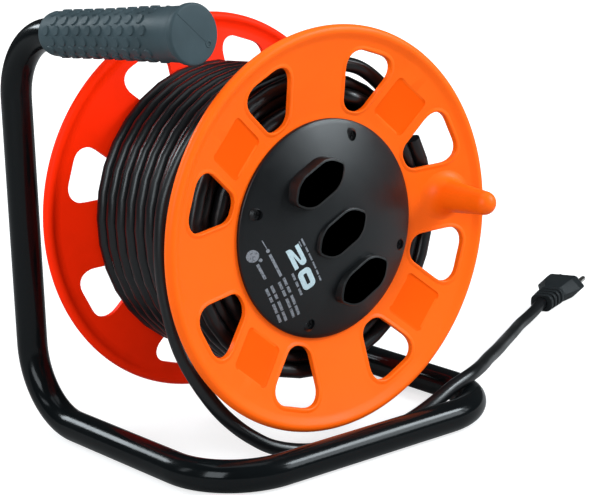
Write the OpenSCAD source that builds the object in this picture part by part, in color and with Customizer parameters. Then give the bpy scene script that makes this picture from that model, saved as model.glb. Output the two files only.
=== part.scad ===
// Extension cord reel: a windowed drum that turns on the end of one bent tube.
// The drum carries three sockets under a domed cover and winds a mains cord.

/* [Drum] */
// Diameter of both flanges over the rolled rim
flange_d = 240; // [236:1:242]
// Width of the drum over the two rims
rim_width = 134; // [132:1:135]
// Width of the drum over the two flat hub rings
hub_width = 109; // [108:0.5:110]
// Wall of the moulded flanges
flange_wall = 3; // [2.5:0.1:3.4]
// Diameter of the rolled rim bead
rim_bead_d = 7; // [6:0.5:8]
// Diameter of the barrel that carries the cord
barrel_d = 104; // [102:1:105]
// Angle of the drum at rest, seen from the front
drum_rest = 27; // [0:1:44]

/* [Windows] */
// Number of windows and spokes in each flange
window_count = 8; // [6:1:8]
// Radius of the inner edge of a window
window_in = 70.5; // [69.5:0.5:71]
// Radius of the outer edge of a window
window_out = 106; // [104:0.5:107]
// Width of each spoke
spoke_w = 41; // [38:0.5:44]
// Corner radius at the inner edge
window_r_in = 7; // [5:0.5:8]
// Corner radius at the outer edge
window_r_out = 10; // [8:0.5:11]
// Width of the raised lip round a window
lip_w = 1.6; // [1.2:0.1:2.4]
// Height of the raised lip
lip_h = 0.6; // [0.4:0.1:1]

/* [Winding peg] */
// Distance of the peg from the axle
peg_at = 92; // [88:1:94]
// Radius of the peg at its root
peg_root_r = 9.6; // [9:0.1:10.5]
// Radius of the rounded peg tip
peg_tip_r = 7.3; // [6.5:0.1:8]
// Distance of the peg tip from the middle of the drum
peg_reach = 101.5; // [98:0.5:106]

/* [Sockets] */
// Diameter of the domed cover
cover_d = 130.4; // [128:0.2:132]
// Height of the dome at its middle, from the middle of the drum
dome_top = 69.5; // [68.5:0.5:70]
// Spacing of the three sockets
socket_pitch = 35.2; // [34.5:0.1:36]
// Length of a socket well along its long axis
well_l = 38.5; // [37:0.5:39.5]
// Width of a socket well
well_w = 18; // [17:0.5:19]
// Spacing of the live and neutral holes
pin_pitch = 19; // [18.5:0.1:19.5]
// Diameter of a socket hole
pin_hole_d = 5; // [4.5:0.1:5.4]

/* [Frame] */
// Outer diameter of the bent tube
tube_d = 19; // [19:0.1:19.2]
// Wall of the bent tube
tube_wall = 1.5; // [1.2:0.1:2]
// Centreline radius of the bends on the floor
bend_r = 45; // [42:1:50]
// Centreline radius of the bend under the hand
grip_bend_r = 42; // [38:1:46]
// Centreline radius of the bend into the axle
axle_bend_r = 34; // [32:1:34]
// Height of the axle above the floor
axle_h = 134.5; // [132:0.5:140]

/* [Grip] */
// Length of the hand grip
grip_l = 128; // [124:1:134]
// Diameter of the grip behind its end flange
grip_front_d = 31; // [30:0.1:31.6]
// Diameter of the grip where its taper flattens out
grip_mid_d = 27.2; // [26.6:0.1:28]
// Diameter of the grip at its rear shoulder
grip_rear_d = 26.2; // [25.8:0.1:26.6]
// Diameter of the end flange
grip_flange_d = 33.6; // [32.5:0.1:34]
// Thickness of the end flange
grip_flange_t = 4.6; // [4:0.1:6]

/* [Cord] */
// Diameter of the cord
cord_d = 8.8; // [8.4:0.1:8.8]
// Spacing of the turns along the drum
cord_pitch = 10.2; // [10:0.1:10.2]
// Turns in the outer layer
outer_turns = 10; // [6:1:10]
// Centreline radius of the outer layer where it lies tight
outer_r = 86.8; // [86:0.1:86.8]
// How far the outer layer hangs slack
slack = 0.7; // [0:0.1:0.7]

/* [Plug] */
// Width of the plug body
plug_w = 36; // [34:0.5:38]
// Thickness of the plug body
plug_t = 16; // [14:0.5:16]
// Diameter of a plug pin
plug_pin_d = 4; // [4:0.1:4.8]
// Length of a plug pin
plug_pin_l = 19; // [18:0.5:20]

/* [Hidden] */
$fn = 96;

orange = "OrangeRed";
black = "#22262a";
slate = "#4a5a5f";
steel = "Silver";
brass = "#c9a24b";
rubber = "#18191b";

function unit(v) = v / norm(v);

// Plan of the frame, from the axle line and the middle of the drum
tube_r = tube_d / 2;
post_x = -110;
rear_y = 104;
front_y = -86;
front_left_x = -104;
right_x = 114.5;
grip_top_z = 248;
grip_front = [-95, -64, 257.5];

// The drum's place: the object's box is centred on the origin
drum_x = -(right_x + tube_r - flange_d / 2) / 2;
drum_y = -(rear_y + tube_r - peg_reach) / 2;
drum_at = [drum_x, drum_y, axle_h];

function placed(p) = [p[0] + drum_x, p[1] + drum_y, p[2]];
axle_end_y = -24;
frame_path = [for (p = [
    grip_front, [post_x, rear_y, grip_top_z], [post_x, rear_y, tube_r],
    [front_left_x, front_y, tube_r], [right_x, front_y, tube_r],
    [right_x, rear_y, tube_r], [0, rear_y, axle_h], [0, axle_end_y, axle_h]
]) placed(p)];
frame_bends = [grip_bend_r, bend_r, bend_r, bend_r, bend_r, axle_bend_r];

// A corner of the path: unit vectors back and on, bend angle and tangent length
function back_dir(i) = unit(frame_path[i - 1] - frame_path[i]);
function on_dir(i) = unit(frame_path[i + 1] - frame_path[i]);
function turn(i) = 180 - acos(back_dir(i) * on_dir(i));
function tangent(i) = frame_bends[i - 1] * tan(turn(i) / 2);
last_corner = len(frame_path) - 1;
grip_end_gap = 6;
function run_start(i) = i == 0
    ? frame_path[0] - back_dir(1) * grip_end_gap : frame_path[i] + on_dir(i) * tangent(i);
function run_end(i) = i + 1 == last_corner
    ? frame_path[last_corner] : frame_path[i + 1] + back_dir(i + 1) * tangent(i + 1);

// Drum profile, along the drum's own axis that points to the front
hub_front = hub_width / 2;
rim_front = rim_width / 2;
bead_r = rim_bead_d / 2;
bead_at = flange_d / 2 - bead_r;
bead_z = rim_front - bead_r;
rim_rise = 2;
cone_z = rim_front - rim_rise;
cone_r = bead_at - 3;
hub_back = hub_front - flange_wall;
barrel_r = barrel_d / 2;
barrel_wall = 3;
barrel_in = barrel_r - barrel_wall;
sleeve_r = 13;
sleeve_front = 14;
web_z = 6;
web_t = 3;
axle_play = 0.06;
end_play = 0.4;
spoke_half = 180 / window_count;
window_apex = spoke_w / 2 / sin(spoke_half);
crease_r = window_in - 2.5;

// Dome of the cover
cover_r = cover_d / 2;
cover_wall = 2.5;
dome_edge = 56.4;
dome_r = (pow(cover_r, 2) + pow(dome_top - dome_edge, 2)) / (2 * (dome_top - dome_edge));
collar_top = 71.2;
collar_w = 2;
well_floor = 58;
well_floor_t = 2;
screw_at = 56.5;
seat_z = 57;
carrier_top = well_floor - well_floor_t;
carrier_t = 11;
carrier_bottom = carrier_top - carrier_t;
carrier_w = 28;
carrier_l = 88;
bar_t = 1.2;
bar_w = 5;
earth_offset = 3;
terminal_y = -socket_pitch / 2;
terminal_l = 5;
sleeve_out = 3.2;
ear_x = 18;
ear_y = socket_pitch / 2;
ring_out = 59.6;
ring_t = 3.5;
flange_screw_r = 56.5;
rear_screw_at = 45;

// Cord on the drum
cord_r = cord_d / 2;
slack_at = 235 - drum_rest;
loop_steps = 24;
loop_sides = 6;
lap_z = cord_pitch * outer_turns / 2;
core_gap = 0.8;
core_out = outer_r - cord_r - core_gap;
core_half = hub_back - 0.3;
gland_z = 42;
gland_angle = 200;

module drum_local() {
    translate(drum_at) rotate([90, 0, 0]) rotate(drum_rest) children();
}

// ---------- frame ----------

// A bent tube draws down a little in its bends, which also lets each bend end inside a run
bend_slim = 0.05;
bend_overlap = 0.4;

// A round bar from one point to another
module rod(a, b, r) {
    d = b - a;
    l = norm(d);
    translate(a) rotate([0, acos(d[2] / l), atan2(d[1], d[0])]) cylinder(h = l, r = r);
}

// The bend at one corner of the path
module elbow(i, r) {
    b = back_dir(i);
    o = on_dir(i);
    bend = frame_bends[i - 1];
    n = unit(cross(b, o));
    middle = frame_path[i] + unit(o + b) * bend / cos(turn(i) / 2);
    x = unit(frame_path[i] + b * tangent(i) - middle);
    az = atan2(n[1], n[0]);
    pol = acos(n[2]);
    roll = atan2(x * [-sin(az), cos(az), 0], x * [cos(az) * cos(pol), sin(az) * cos(pol), -sin(pol)]);
    translate(middle) rotate([0, pol, az]) rotate(roll + bend_overlap)
        rotate_extrude(angle = -turn(i) - 2 * bend_overlap) translate([bend, 0]) circle(r = r);
}

// The straight runs first to last of the tube, with the bends between them
module tube_run(r, first, last) {
    for (i = [first : last]) rod(run_start(i), run_end(i), r);
    for (i = [first + 1 : last]) elbow(i, r - bend_slim);
}

washer_t = 1.5;
washer_r = 15;
eye_r = 3.6;
pin_z = sleeve_front + end_play + washer_t + eye_r + 0.2;
pin_r = 1.6;

module frame_tube() {
    color(black) difference() {
        tube_run(tube_r, 0, last_corner - 1);
        tube_run(tube_r - tube_wall, 0, last_corner - 1);
        drum_local() translate([0, 0, pin_z]) rotate([0, 90, 0])
            cylinder(h = tube_d + 6, r = pin_r, center = true);
    }
}

// Places a shape on the grip's own axis, z from the front face to the rear
module on_grip() {
    d = unit(frame_path[1] - frame_path[0]);
    translate(frame_path[0]) rotate([0, acos(d[2]), atan2(d[1], d[0])]) children();
}

grip_edge = 1.4;
grip_mid_at = 70;
shoulder_r = 6.5;

module handle_grip() {
    front_r = grip_front_d / 2;
    mid_r = grip_mid_d / 2;
    rear_r = grip_rear_d / 2;
    flange_r = grip_flange_d / 2;
    color(slate) difference() {
        on_grip() rotate_extrude() {
            // end flange with rounded edges
            square([flange_r - grip_edge, grip_flange_t]);
            translate([0, grip_edge]) square([flange_r, grip_flange_t - 2 * grip_edge]);
            for (z = [grip_edge, grip_flange_t - grip_edge])
                translate([flange_r - grip_edge, z]) circle(r = grip_edge, $fn = 48);
            // tapered body down to the rear shoulder
            polygon([
                [0, grip_flange_t], [front_r, grip_flange_t], [mid_r, grip_mid_at],
                [rear_r, grip_l - shoulder_r], [0, grip_l - shoulder_r]
            ]);
            translate([rear_r - shoulder_r, grip_l - shoulder_r]) circle(r = shoulder_r);
            square([12, grip_l]);
        }
        tube_run(tube_r, 0, 1);
    }
}

stop_t = 6;

module axle_stop_ring() {
    z = -hub_front - end_play - washer_t - stop_t;
    color(black) drum_local() translate([0, 0, z]) difference() {
        cylinder(h = stop_t, r = 14);
        translate([0, 0, -1]) cylinder(h = stop_t + 2, r = tube_r + 0.02);
    }
}

module axle_washer(z) {
    color(steel) drum_local() translate([0, 0, z]) difference() {
        cylinder(h = washer_t, r = washer_r);
        translate([0, 0, -1]) cylinder(h = washer_t + 2, r = tube_r + 0.05);
    }
}

module rear_washer() { axle_washer(-hub_front - end_play - washer_t); }

module front_washer() { axle_washer(sleeve_front + end_play); }

module split_pin() {
    color(steel) drum_local() translate([0, 0, pin_z]) rotate([0, 90, 0]) {
        cylinder(h = tube_d + 10, r = pin_r - 0.05, center = true);
        translate([0, 0, -tube_r - 5 - 2.4]) difference() {
            cylinder(h = 3, r = eye_r);
            translate([0, 0, -1]) cylinder(h = 2.6, r = 1.7);
        }
    }
}

// ---------- drum ----------

// Cone line of a flange: distance along the axis at radius r, plus an offset
cone_slope = (cone_z - hub_front) / (cone_r - crease_r);
function cone_at(r, off) = hub_front + off + cone_slope * (r - crease_r);

// Solid between two offsets of the flange's front face, from radius a outwards
module cone_band(a, low, high, reach) {
    rotate_extrude() polygon([
        [a, hub_front + low], [crease_r, hub_front + low], [reach, cone_at(reach, low)],
        [reach, cone_at(reach, high)], [crease_r, hub_front + high], [a, hub_front + high]
    ]);
}

// How far the straight sides lie inside the corner circles
corner_bite = 0.05;

// Outline of one window, grown by g, on the window's own radius
module window_shape(g) {
    rin = window_r_in + g;
    rout = window_r_out + g;
    cut_in = rin - corner_bite;
    cut_out = rout - corner_bite;
    x_in = window_in - g + rin;
    x_out = window_out + g - rout;
    side = g / sin(spoke_half);
    y_in = (x_in - window_apex + side) * tan(spoke_half) - rin / cos(spoke_half);
    y_out = (x_out - window_apex + side) * tan(spoke_half) - rout / cos(spoke_half);
    sx = sin(spoke_half);
    cx = cos(spoke_half);
    polygon([
        [x_in - cut_in, -y_in], [x_in - cut_in * sx, -y_in - cut_in * cx],
        [x_out - cut_out * sx, -y_out - cut_out * cx], [x_out + cut_out, -y_out],
        [x_out + cut_out, y_out], [x_out - cut_out * sx, y_out + cut_out * cx],
        [x_in - cut_in * sx, y_in + cut_in * cx], [x_in - cut_in, y_in]
    ]);
    for (s = [-1, 1]) {
        translate([x_in, s * y_in]) circle(r = rin, $fn = 48);
        translate([x_out, s * y_out]) circle(r = rout, $fn = 48);
    }
}

module each_window() {
    for (k = [0 : window_count - 1]) rotate(k * 360 / window_count) children();
}

panel_l = 26;
panel_w = 27;
panel_depth = 0.6;
panel_at = 74;

// Shell shared by both flanges, its hub open out to radius hole; children are moulded on to it
module flange_shell(hole) {
    difference() {
        union() {
            cone_band(hole, -flange_wall, 0, cone_r);
            children();
            rotate_extrude() translate([bead_at, bead_z]) circle(r = bead_r, $fn = 48);
            intersection() {
                cone_band(window_in - 6, -1, lip_h, cone_r);
                each_window() translate([0, 0, hub_back]) linear_extrude(rim_width) window_shape(lip_w);
            }
        }
        each_window() translate([0, 0, hub_back - 1]) linear_extrude(rim_width) window_shape(0);
        intersection() {
            cone_band(window_in - 2, -panel_depth, 6, cone_r);
            for (k = [0 : 3]) rotate(spoke_half + 90 * k)
                translate([panel_at, -panel_w / 2, hub_back]) cube([panel_l, panel_w, 30]);
        }
    }
}

peg_base = 56.8;
flare_r = 6;
flare_out = 15;

module peg() {
    neck = peg_reach - peg_tip_r;
    rotate(-spoke_half) translate([peg_at, 0, 0]) {
        // flare that blends the peg into the dished spoke
        translate([0, 0, cone_at(peg_at, 0)]) rotate([0, -atan(cone_slope), 0])
            translate([0, 0, -1.5]) rotate_extrude() difference() {
                square([flare_out, flare_r + 1.5]);
                translate([flare_out + 0.5, flare_r + 2]) circle(r = flare_r, $fn = 64);
            }
        translate([0, 0, peg_base]) cylinder(h = neck - peg_base, r1 = peg_root_r, r2 = peg_tip_r);
        translate([0, 0, neck]) sphere(r = peg_tip_r);
    }
}

module screw_holes(at, n, first, r) {
    for (k = [0 : n - 1]) rotate(first + 360 / n * k)
        translate([at, 0, -80]) cylinder(h = 160, r = r, $fn = 32);
}

module front_flange() {
    color(orange) drum_local() difference() {
        flange_shell(46) peg();
        screw_holes(screw_at, 4, -45, 1.6);
        screw_holes(flange_screw_r, 4, 0, 1.6);
    }
}

module rear_flange() {
    color(orange) drum_local() difference() {
        mirror([0, 0, 1]) flange_shell(sleeve_r + 0.1);
        screw_holes(rear_screw_at, 4, 45, 1.6);
    }
}

boss_r = 4.5;
boss_l = 18;
pilot_r = 1.25;

module drum_barrel() {
    color(orange) drum_local() difference() {
        union() {
            difference() {
                translate([0, 0, -hub_back]) cylinder(h = 2 * hub_back, r = barrel_r);
                translate([0, 0, -hub_back - 1]) cylinder(h = 2 * hub_back + 2, r = barrel_in);
            }
            // mounting ring under the front flange
            translate([0, 0, hub_back - ring_t]) difference() {
                cylinder(h = ring_t, r = ring_out);
                translate([0, 0, -1]) cylinder(h = ring_t + 2, r = barrel_in);
            }
            translate([0, 0, web_z]) cylinder(h = web_t, r = barrel_in + 0.5);
            translate([0, 0, -hub_front]) cylinder(h = hub_front + sleeve_front, r = sleeve_r);
            intersection() {
                for (k = [0 : 5]) rotate(15 + 60 * k) translate([0, -1.25, -hub_back + 4])
                    cube([barrel_in + 0.5, 2.5, hub_back - 4 + web_z + web_t / 2]);
                translate([0, 0, -hub_front]) cylinder(h = hub_width, r = barrel_in + 0.5);
            }
            for (k = [0 : 3]) rotate(45 + 90 * k) translate([rear_screw_at, 0, -hub_back + 0.5])
                cylinder(h = boss_l, r = boss_r, $fn = 48);
        }
        translate([0, 0, -80]) cylinder(h = 160, r = tube_r + axle_play);
        for (k = [0 : 3]) rotate(45 + 90 * k) translate([rear_screw_at, 0, -hub_back - 1])
            cylinder(h = boss_l - 1, r = pilot_r, $fn = 32);
        for (k = [0 : 7]) rotate(45 * k) translate([screw_at, 0, 40])
            cylinder(h = 20, r = pilot_r, $fn = 32);
        rotate(gland_angle) translate([barrel_in - 5, 0, gland_z]) rotate([0, 90, 0])
            cylinder(h = 12, r = grommet_r, $fn = 48);
    }
}

// ---------- sockets ----------

// Long six-sided outline of a socket, grown by g
module well_shape(g) {
    l = well_l / 2 + g * 1.15;
    w = well_w / 2 + g;
    f = well_l / 2 - 7.5 + g * 0.4;
    polygon([[-l, 0], [-f, -w], [f, -w], [l, 0], [f, w], [-f, w]]);
}

module each_socket() {
    for (k = [-1 : 1]) translate([0, k * socket_pitch, 0]) children();
}

module pin_places() {
    for (s = [-1, 1]) translate([s * pin_pitch / 2, 0, 0]) children();
    translate([0, earth_offset, 0]) children();
}

module ear_places() {
    for (x = [-1, 1], y = [-1, 1]) translate([x * ear_x, y * ear_y, 0]) children();
}

module dome_solid(r) {
    intersection() {
        translate([0, 0, dome_top - dome_r]) sphere(r = r, $fn = 180);
        translate([0, 0, hub_front]) cylinder(h = 30, r = cover_r);
    }
}

module socket_cover() {
    color(black) drum_local() difference() {
        union() {
            difference() {
                dome_solid(dome_r);
                dome_solid(dome_r - cover_wall);
            }
            each_socket() translate([0, 0, carrier_top])
                linear_extrude(collar_top - carrier_top) well_shape(collar_w);
            intersection() {
                dome_solid(dome_r - 0.5);
                union() {
                    for (k = [0 : 3]) rotate(-45 + 90 * k) translate([screw_at, 0, hub_front])
                        cylinder(h = 8, r = 5, $fn = 48);
                    ear_places() translate([0, 0, carrier_top]) cylinder(h = 14, r = 3.6, $fn = 48);
                }
            }
        }
        each_socket() translate([0, 0, well_floor]) linear_extrude(20) well_shape(0);
        each_socket() pin_places() translate([0, 0, 50])
            cylinder(h = 12, r = pin_hole_d / 2, $fn = 32);
        ear_places() translate([0, 0, carrier_top - 1]) cylinder(h = 8, r = pilot_r, $fn = 32);
        for (k = [0 : 3]) rotate(-45 + 90 * k) translate([screw_at, 0, 0]) {
            translate([0, 0, 50]) cylinder(h = 20, r = 1.8, $fn = 32);
            translate([0, 0, seat_z]) cylinder(h = 10, r = 3.1, $fn = 48);
        }
    }
}

module contact_carrier() {
    color("#3a3d40") drum_local() difference() {
        union() {
            intersection() {
                translate([-carrier_w / 2, -carrier_l / 2, carrier_bottom])
                    cube([carrier_w, carrier_l, carrier_t]);
                translate([0, 0, carrier_bottom]) cylinder(h = carrier_t, r = 45.5);
            }
            for (s = [-1, 1]) translate([-ear_x - 4, s * ear_y - 4, carrier_top - 4])
                cube([2 * ear_x + 8, 8, 4]);
        }
        each_socket() pin_places() translate([0, 0, carrier_bottom - 1])
            cylinder(h = carrier_t + 2, r = sleeve_out + 0.1, $fn = 32);
        ear_places() translate([0, 0, carrier_bottom - 1]) cylinder(h = carrier_t + 2, r = 1.6, $fn = 32);
        for (x = [-pin_pitch / 2, 0, pin_pitch / 2]) translate([x, terminal_y, carrier_bottom - 1])
            cylinder(h = terminal_l, r = 1.25, $fn = 24);
    }
}

// One brass bar with its three contact sleeves
module contact_strip(x, y) {
    color(brass) drum_local() difference() {
        union() {
            translate([x - bar_w / 2, -carrier_l / 2 + 4, carrier_bottom - bar_t])
                cube([bar_w, carrier_l - 8, bar_t]);
            each_socket() translate([x, y, carrier_bottom - bar_t])
                cylinder(h = carrier_t - 1 + bar_t, r = sleeve_out, $fn = 32);
        }
        each_socket() translate([x, y, carrier_bottom + 1])
            cylinder(h = carrier_t + 2, r = pin_hole_d / 2 - 0.1, $fn = 32);
        translate([x, terminal_y, carrier_bottom - bar_t - 1]) cylinder(h = 4, r = 1.25, $fn = 24);
    }
}

module live_contacts() { contact_strip(-pin_pitch / 2, 0); }

module neutral_contacts() { contact_strip(pin_pitch / 2, 0); }

module earth_contacts() { contact_strip(0, earth_offset); }

// A screw with its head up: shank below z = 0, head above
module screw(shank_r, shank_l, head_r, head_h) {
    difference() {
        union() {
            translate([0, 0, -shank_l]) cylinder(h = shank_l, r = shank_r, $fn = 32);
            cylinder(h = head_h, r = head_r, $fn = 48);
        }
        for (a = [0, 90]) rotate(a) translate([-head_r * 0.62, -0.35, head_h - 0.9])
            cube([head_r * 1.24, 0.7, 2]);
    }
}

module terminal_screws() {
    color(brass) drum_local() for (x = [-pin_pitch / 2, 0, pin_pitch / 2])
        translate([x, terminal_y, carrier_bottom - bar_t]) mirror([0, 0, 1]) screw(1.25, 4.5, 2.4, 2);
}

module carrier_screws() {
    color(steel) drum_local() ear_places() translate([0, 0, carrier_top - 4])
        mirror([0, 0, 1]) screw(1.25, 9, 2.6, 1.8);
}

module cover_screws() {
    color("#3c3f42") drum_local() for (k = [0 : 3]) rotate(-45 + 90 * k)
        translate([screw_at, 0, seat_z]) screw(1.25, 8.5, 2.8, 1.9);
}

module front_flange_screws() {
    color(steel) drum_local() for (k = [0 : 3]) rotate(90 * k)
        translate([flange_screw_r, 0, hub_front]) screw(1.25, 6, 2.6, 1.6);
}

module rear_flange_screws() {
    color(steel) drum_local() mirror([0, 0, 1]) for (k = [0 : 3]) rotate(-45 - 90 * k)
        translate([rear_screw_at, 0, hub_front]) screw(1.25, 14, 3.4, 2.2);
}

// ---------- cord entry ----------

grommet_r = 6.6;
grommet_lip = 1.25;
clamp_in = 34;

module cord_grommet() {
    color(rubber) drum_local() rotate(gland_angle) translate([barrel_in - 2, 0, gland_z])
        rotate([0, 90, 0]) difference() {
            union() {
                cylinder(h = barrel_wall + 1.5, r = grommet_r, $fn = 48);
                cylinder(h = grommet_lip, r = grommet_r + 1.6, $fn = 48);
            }
            translate([0, 0, -1]) cylinder(h = 12, r = cord_r, $fn = 32);
        }
}

module cord_clamp() {
    color("#3a3d40") drum_local() rotate(gland_angle) translate([clamp_in, 0, web_z + web_t])
        difference() {
            translate([-4, -14, 0]) cube([8, 28, 5]);
            for (s = [-1, 1]) translate([0, s * 9.5, -1]) cylinder(h = 8, r = 1.6, $fn = 32);
        }
}

module clamp_screws() {
    color(steel) drum_local() rotate(gland_angle) for (s = [-1, 1])
        translate([clamp_in, s * 9.5, web_z + web_t + 5]) screw(1.5, 5, 2.8, 2);
}

// ---------- cord ----------

// Faces of a tube swept through m rings of n points, both ends closed
function tube_faces(m, n) = concat(
    [for (i = [0 : m - 2], j = [0 : n - 1]) each [
        [i * n + j, i * n + (j + 1) % n, (i + 1) * n + j],
        [i * n + (j + 1) % n, (i + 1) * n + (j + 1) % n, (i + 1) * n + j]
    ]],
    [for (j = [1 : n - 2]) [0, j + 1, j]],
    [for (j = [1 : n - 2]) [(m - 1) * n, (m - 1) * n + j, (m - 1) * n + j + 1]]
);

// Outer layer: radius grows with the slack on the low side
function slack_r(a) = outer_r + slack * (1 + cos(a - slack_at)) / 2;
wind_from = 60;
wind_to = wind_from + 360 * outer_turns;
wind_n = floor((wind_to - wind_from) / 360 * loop_steps);
function wind_angle(i) = wind_from + (wind_to - wind_from) * i / wind_n;
function wind_z(i) = -lap_z + cord_pitch * (wind_angle(i) - wind_from) / 360;
function wind_point(i) = let (a = wind_angle(i), r = slack_r(a)) [r * cos(a), r * sin(a), wind_z(i)];
function ring_round(p, side, up) = [for (j = [0 : loop_sides - 1])
    p + cord_r * (cos(60 * j) * side + sin(60 * j) * up)];
function wind_side(a) = [cos(a), sin(a), 0];
function wind_along(a) = [-sin(a), cos(a), 0];

wind_rings = concat(
    [ring_round(wind_point(0) - cord_d * wind_along(wind_from), wind_side(wind_from), [0, 0, 1])],
    [for (i = [0 : wind_n]) ring_round(wind_point(i), wind_side(wind_angle(i)), [0, 0, 1])],
    [ring_round(wind_point(wind_n) + cord_d * wind_along(wind_to), wind_side(wind_to), [0, 0, 1])]
);

module cord_winding() {
    color(rubber) drum_local() polyhedron(
        points = [for (ring = wind_rings) each ring],
        faces = tube_faces(len(wind_rings), loop_sides), convexity = 10);
}

wind_gap = min([for (i = [0 : wind_n], j = [i + loop_steps - 3 : i + loop_steps + 3])
    if (j <= wind_n) norm(wind_point(i) - wind_point(j))]) - cord_d;
echo(least_gap_of_winding = wind_gap);

module cord_core() {
    color(rubber) drum_local() difference() {
        translate([0, 0, -core_half]) cylinder(h = 2 * core_half, r = core_out);
        translate([0, 0, -core_half - 1]) cylinder(h = 2 * core_half + 2, r = barrel_r);
        translate([0, 0, hub_back - ring_t - 0.3]) cylinder(h = 10, r = ring_out + 0.3);
    }
}

// Route of the free cord, from the axle line and the middle of the drum, z from the floor
floor_z = cord_r;
lead_points = [
    [38, -46, 224], [22, -45, 229], [0, -43, 232.5], [-30, -39, 227.5], [-58, -35, 213.5],
    [-79, -31, 192], [-93, -28, 165], [-98.5, -28, 138], [-99, -30, 112], [-98, -34, 93],
    [-96, -38, 78], [-92, -42, 65], [-86, -46, 52], [-79, -50, 40], [-71, -54, 30],
    [-61, -57, 21], [-48, -60, 12.5], [-30, -63, 6.5], [-12, -66, floor_z], [10, -68, floor_z],
    [32, -70.5, 5.5], [52, -71, 9], [70, -71.5, 15], [89, -69, 20.6], [108, -66, 23.9],
    [128, -55, 22.5], [148, -41.5, 20.5], [174, -24.5, 17.4], [203, -3.5, 13], [233, 17.5, 9],
    [259, 36, 5.6], [280, 48, floor_z], [296, 56, 4.9], [312, 63.5, 6.6]
];
lead_route = [for (p = lead_points) placed(p)];
lead_last = len(lead_route) - 1;
lead_fine = 2;
lead_sides = 10;

// Smooth curve through the route: piece i from its point i to i + 1, level where it enters the plug
function level(d) = [d[0], d[1], 0];
function at_point(i) = lead_route[max(0, min(lead_last, i))];
function slope(i) = i == 0 ? at_point(1) - at_point(0)
    : i == lead_last ? level(at_point(i) - at_point(i - 1)) : (at_point(i + 1) - at_point(i - 1)) / 2;
function curve(i, t) = let (t2 = t * t, t3 = t2 * t)
    (2 * t3 - 3 * t2 + 1) * at_point(i) + (t3 - 2 * t2 + t) * slope(i)
    + (3 * t2 - 2 * t3) * at_point(i + 1) + (t3 - t2) * slope(i + 1);
lead_curve = concat(
    [for (i = [0 : lead_last - 1], k = [0 : lead_fine - 1]) curve(i, k / lead_fine)],
    [at_point(lead_last)]
);
lead_n = len(lead_curve) - 1;
function lead_dir(i) = i == 0 ? unit(slope(0)) : i == lead_n ? unit(slope(lead_last))
    : unit(lead_curve[i + 1] - lead_curve[i - 1]);
lead_rings = [for (i = [0 : lead_n]) let (t = lead_dir(i), s = unit(cross(t, [0, 1, 0])), u = cross(s, t))
    [for (j = [0 : lead_sides - 1]) lead_curve[i]
        + cord_r * (cos(360 / lead_sides * (j + 0.5)) * s + sin(360 / lead_sides * (j + 0.5)) * u)]];

module cord_lead() {
    color(rubber) polyhedron(
        points = [for (ring = lead_rings) each ring],
        faces = tube_faces(len(lead_rings), lead_sides), convexity = 10);
}

// Plug on the end of the free cord, z along the cord, flat on the floor
boot_l = 26;
boot_r = 6.6;
boot_ribs = 4;
rib_t = 4.5;
rib_pitch = (boot_l - rib_t) / (boot_ribs - 1);
plug_l = 36;
plug_neck = 19;
plug_pitch = 19;

module on_plug() {
    d = lead_dir(lead_n);
    p = at_point(lead_last);
    translate([p[0], p[1], 0]) rotate(atan2(d[1], d[0])) rotate([0, 90, 0]) children();
}

// One flat rib of the boot, as wide again as its spread
module boot_rib(spread) {
    for (s = [-1, 1]) translate([0, s * spread, 0]) cylinder(h = rib_t, r = boot_r);
    translate([-boot_r + corner_bite, -spread, 0]) cube([2 * (boot_r - corner_bite), 2 * spread, rib_t]);
}

module plug_boot() {
    color(rubber) on_plug() translate([-boot_r, 0, 0]) {
        cylinder(h = boot_l, r = cord_r + 0.6);
        for (k = [0 : boot_ribs - 1]) translate([0, 0, rib_pitch * k]) boot_rib(2 + 0.5 * k);
    }
}

// Six-sided cross section of the plug body, w wide and t thick
module plug_slice(w, t, f) {
    linear_extrude(0.1) polygon([
        [0, -w / 2 + f], [-t / 2, -w / 2], [-t, -w / 2 + f], [-t, w / 2 - f], [-t / 2, w / 2], [0, w / 2 - f]
    ]);
}

module plug_body() {
    color(black) on_plug() translate([0, 0, boot_l]) hull() {
        plug_slice(plug_neck, boot_r * 2, 3);
        translate([0, 0, 20]) plug_slice(plug_w, plug_t, 6);
        translate([0, 0, plug_l - 6]) plug_slice(plug_w, plug_t, 6);
        translate([-2, 0, plug_l - 0.1]) plug_slice(plug_w - 6, plug_t - 4, 4);
    }
}

module plug_pins() {
    color(steel) on_plug() for (s = [-1, 1])
        translate([-plug_t / 2, s * plug_pitch / 2, boot_l + plug_l]) {
            cylinder(h = plug_pin_l - plug_pin_d / 2, r = plug_pin_d / 2, $fn = 32);
            translate([0, 0, plug_pin_l - plug_pin_d / 2]) sphere(r = plug_pin_d / 2, $fn = 32);
        }
}

frame_tube();
handle_grip();
axle_stop_ring();
rear_washer();
front_washer();
split_pin();
front_flange();
rear_flange();
drum_barrel();
socket_cover();
contact_carrier();
live_contacts();
neutral_contacts();
earth_contacts();
terminal_screws();
carrier_screws();
cover_screws();
front_flange_screws();
rear_flange_screws();
cord_grommet();
cord_clamp();
clamp_screws();
cord_core();
cord_winding();
cord_lead();
plug_boot();
plug_body();
plug_pins();
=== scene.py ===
"""The looks of an extension cord reel: bent tube stand, windowed drum, sockets, cord and plug."""

from __future__ import annotations

import logging
import math
from dataclasses import dataclass
from enum import Enum
from typing import Sequence

import bmesh
import bpy
from mathutils import Matrix, Vector

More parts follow.
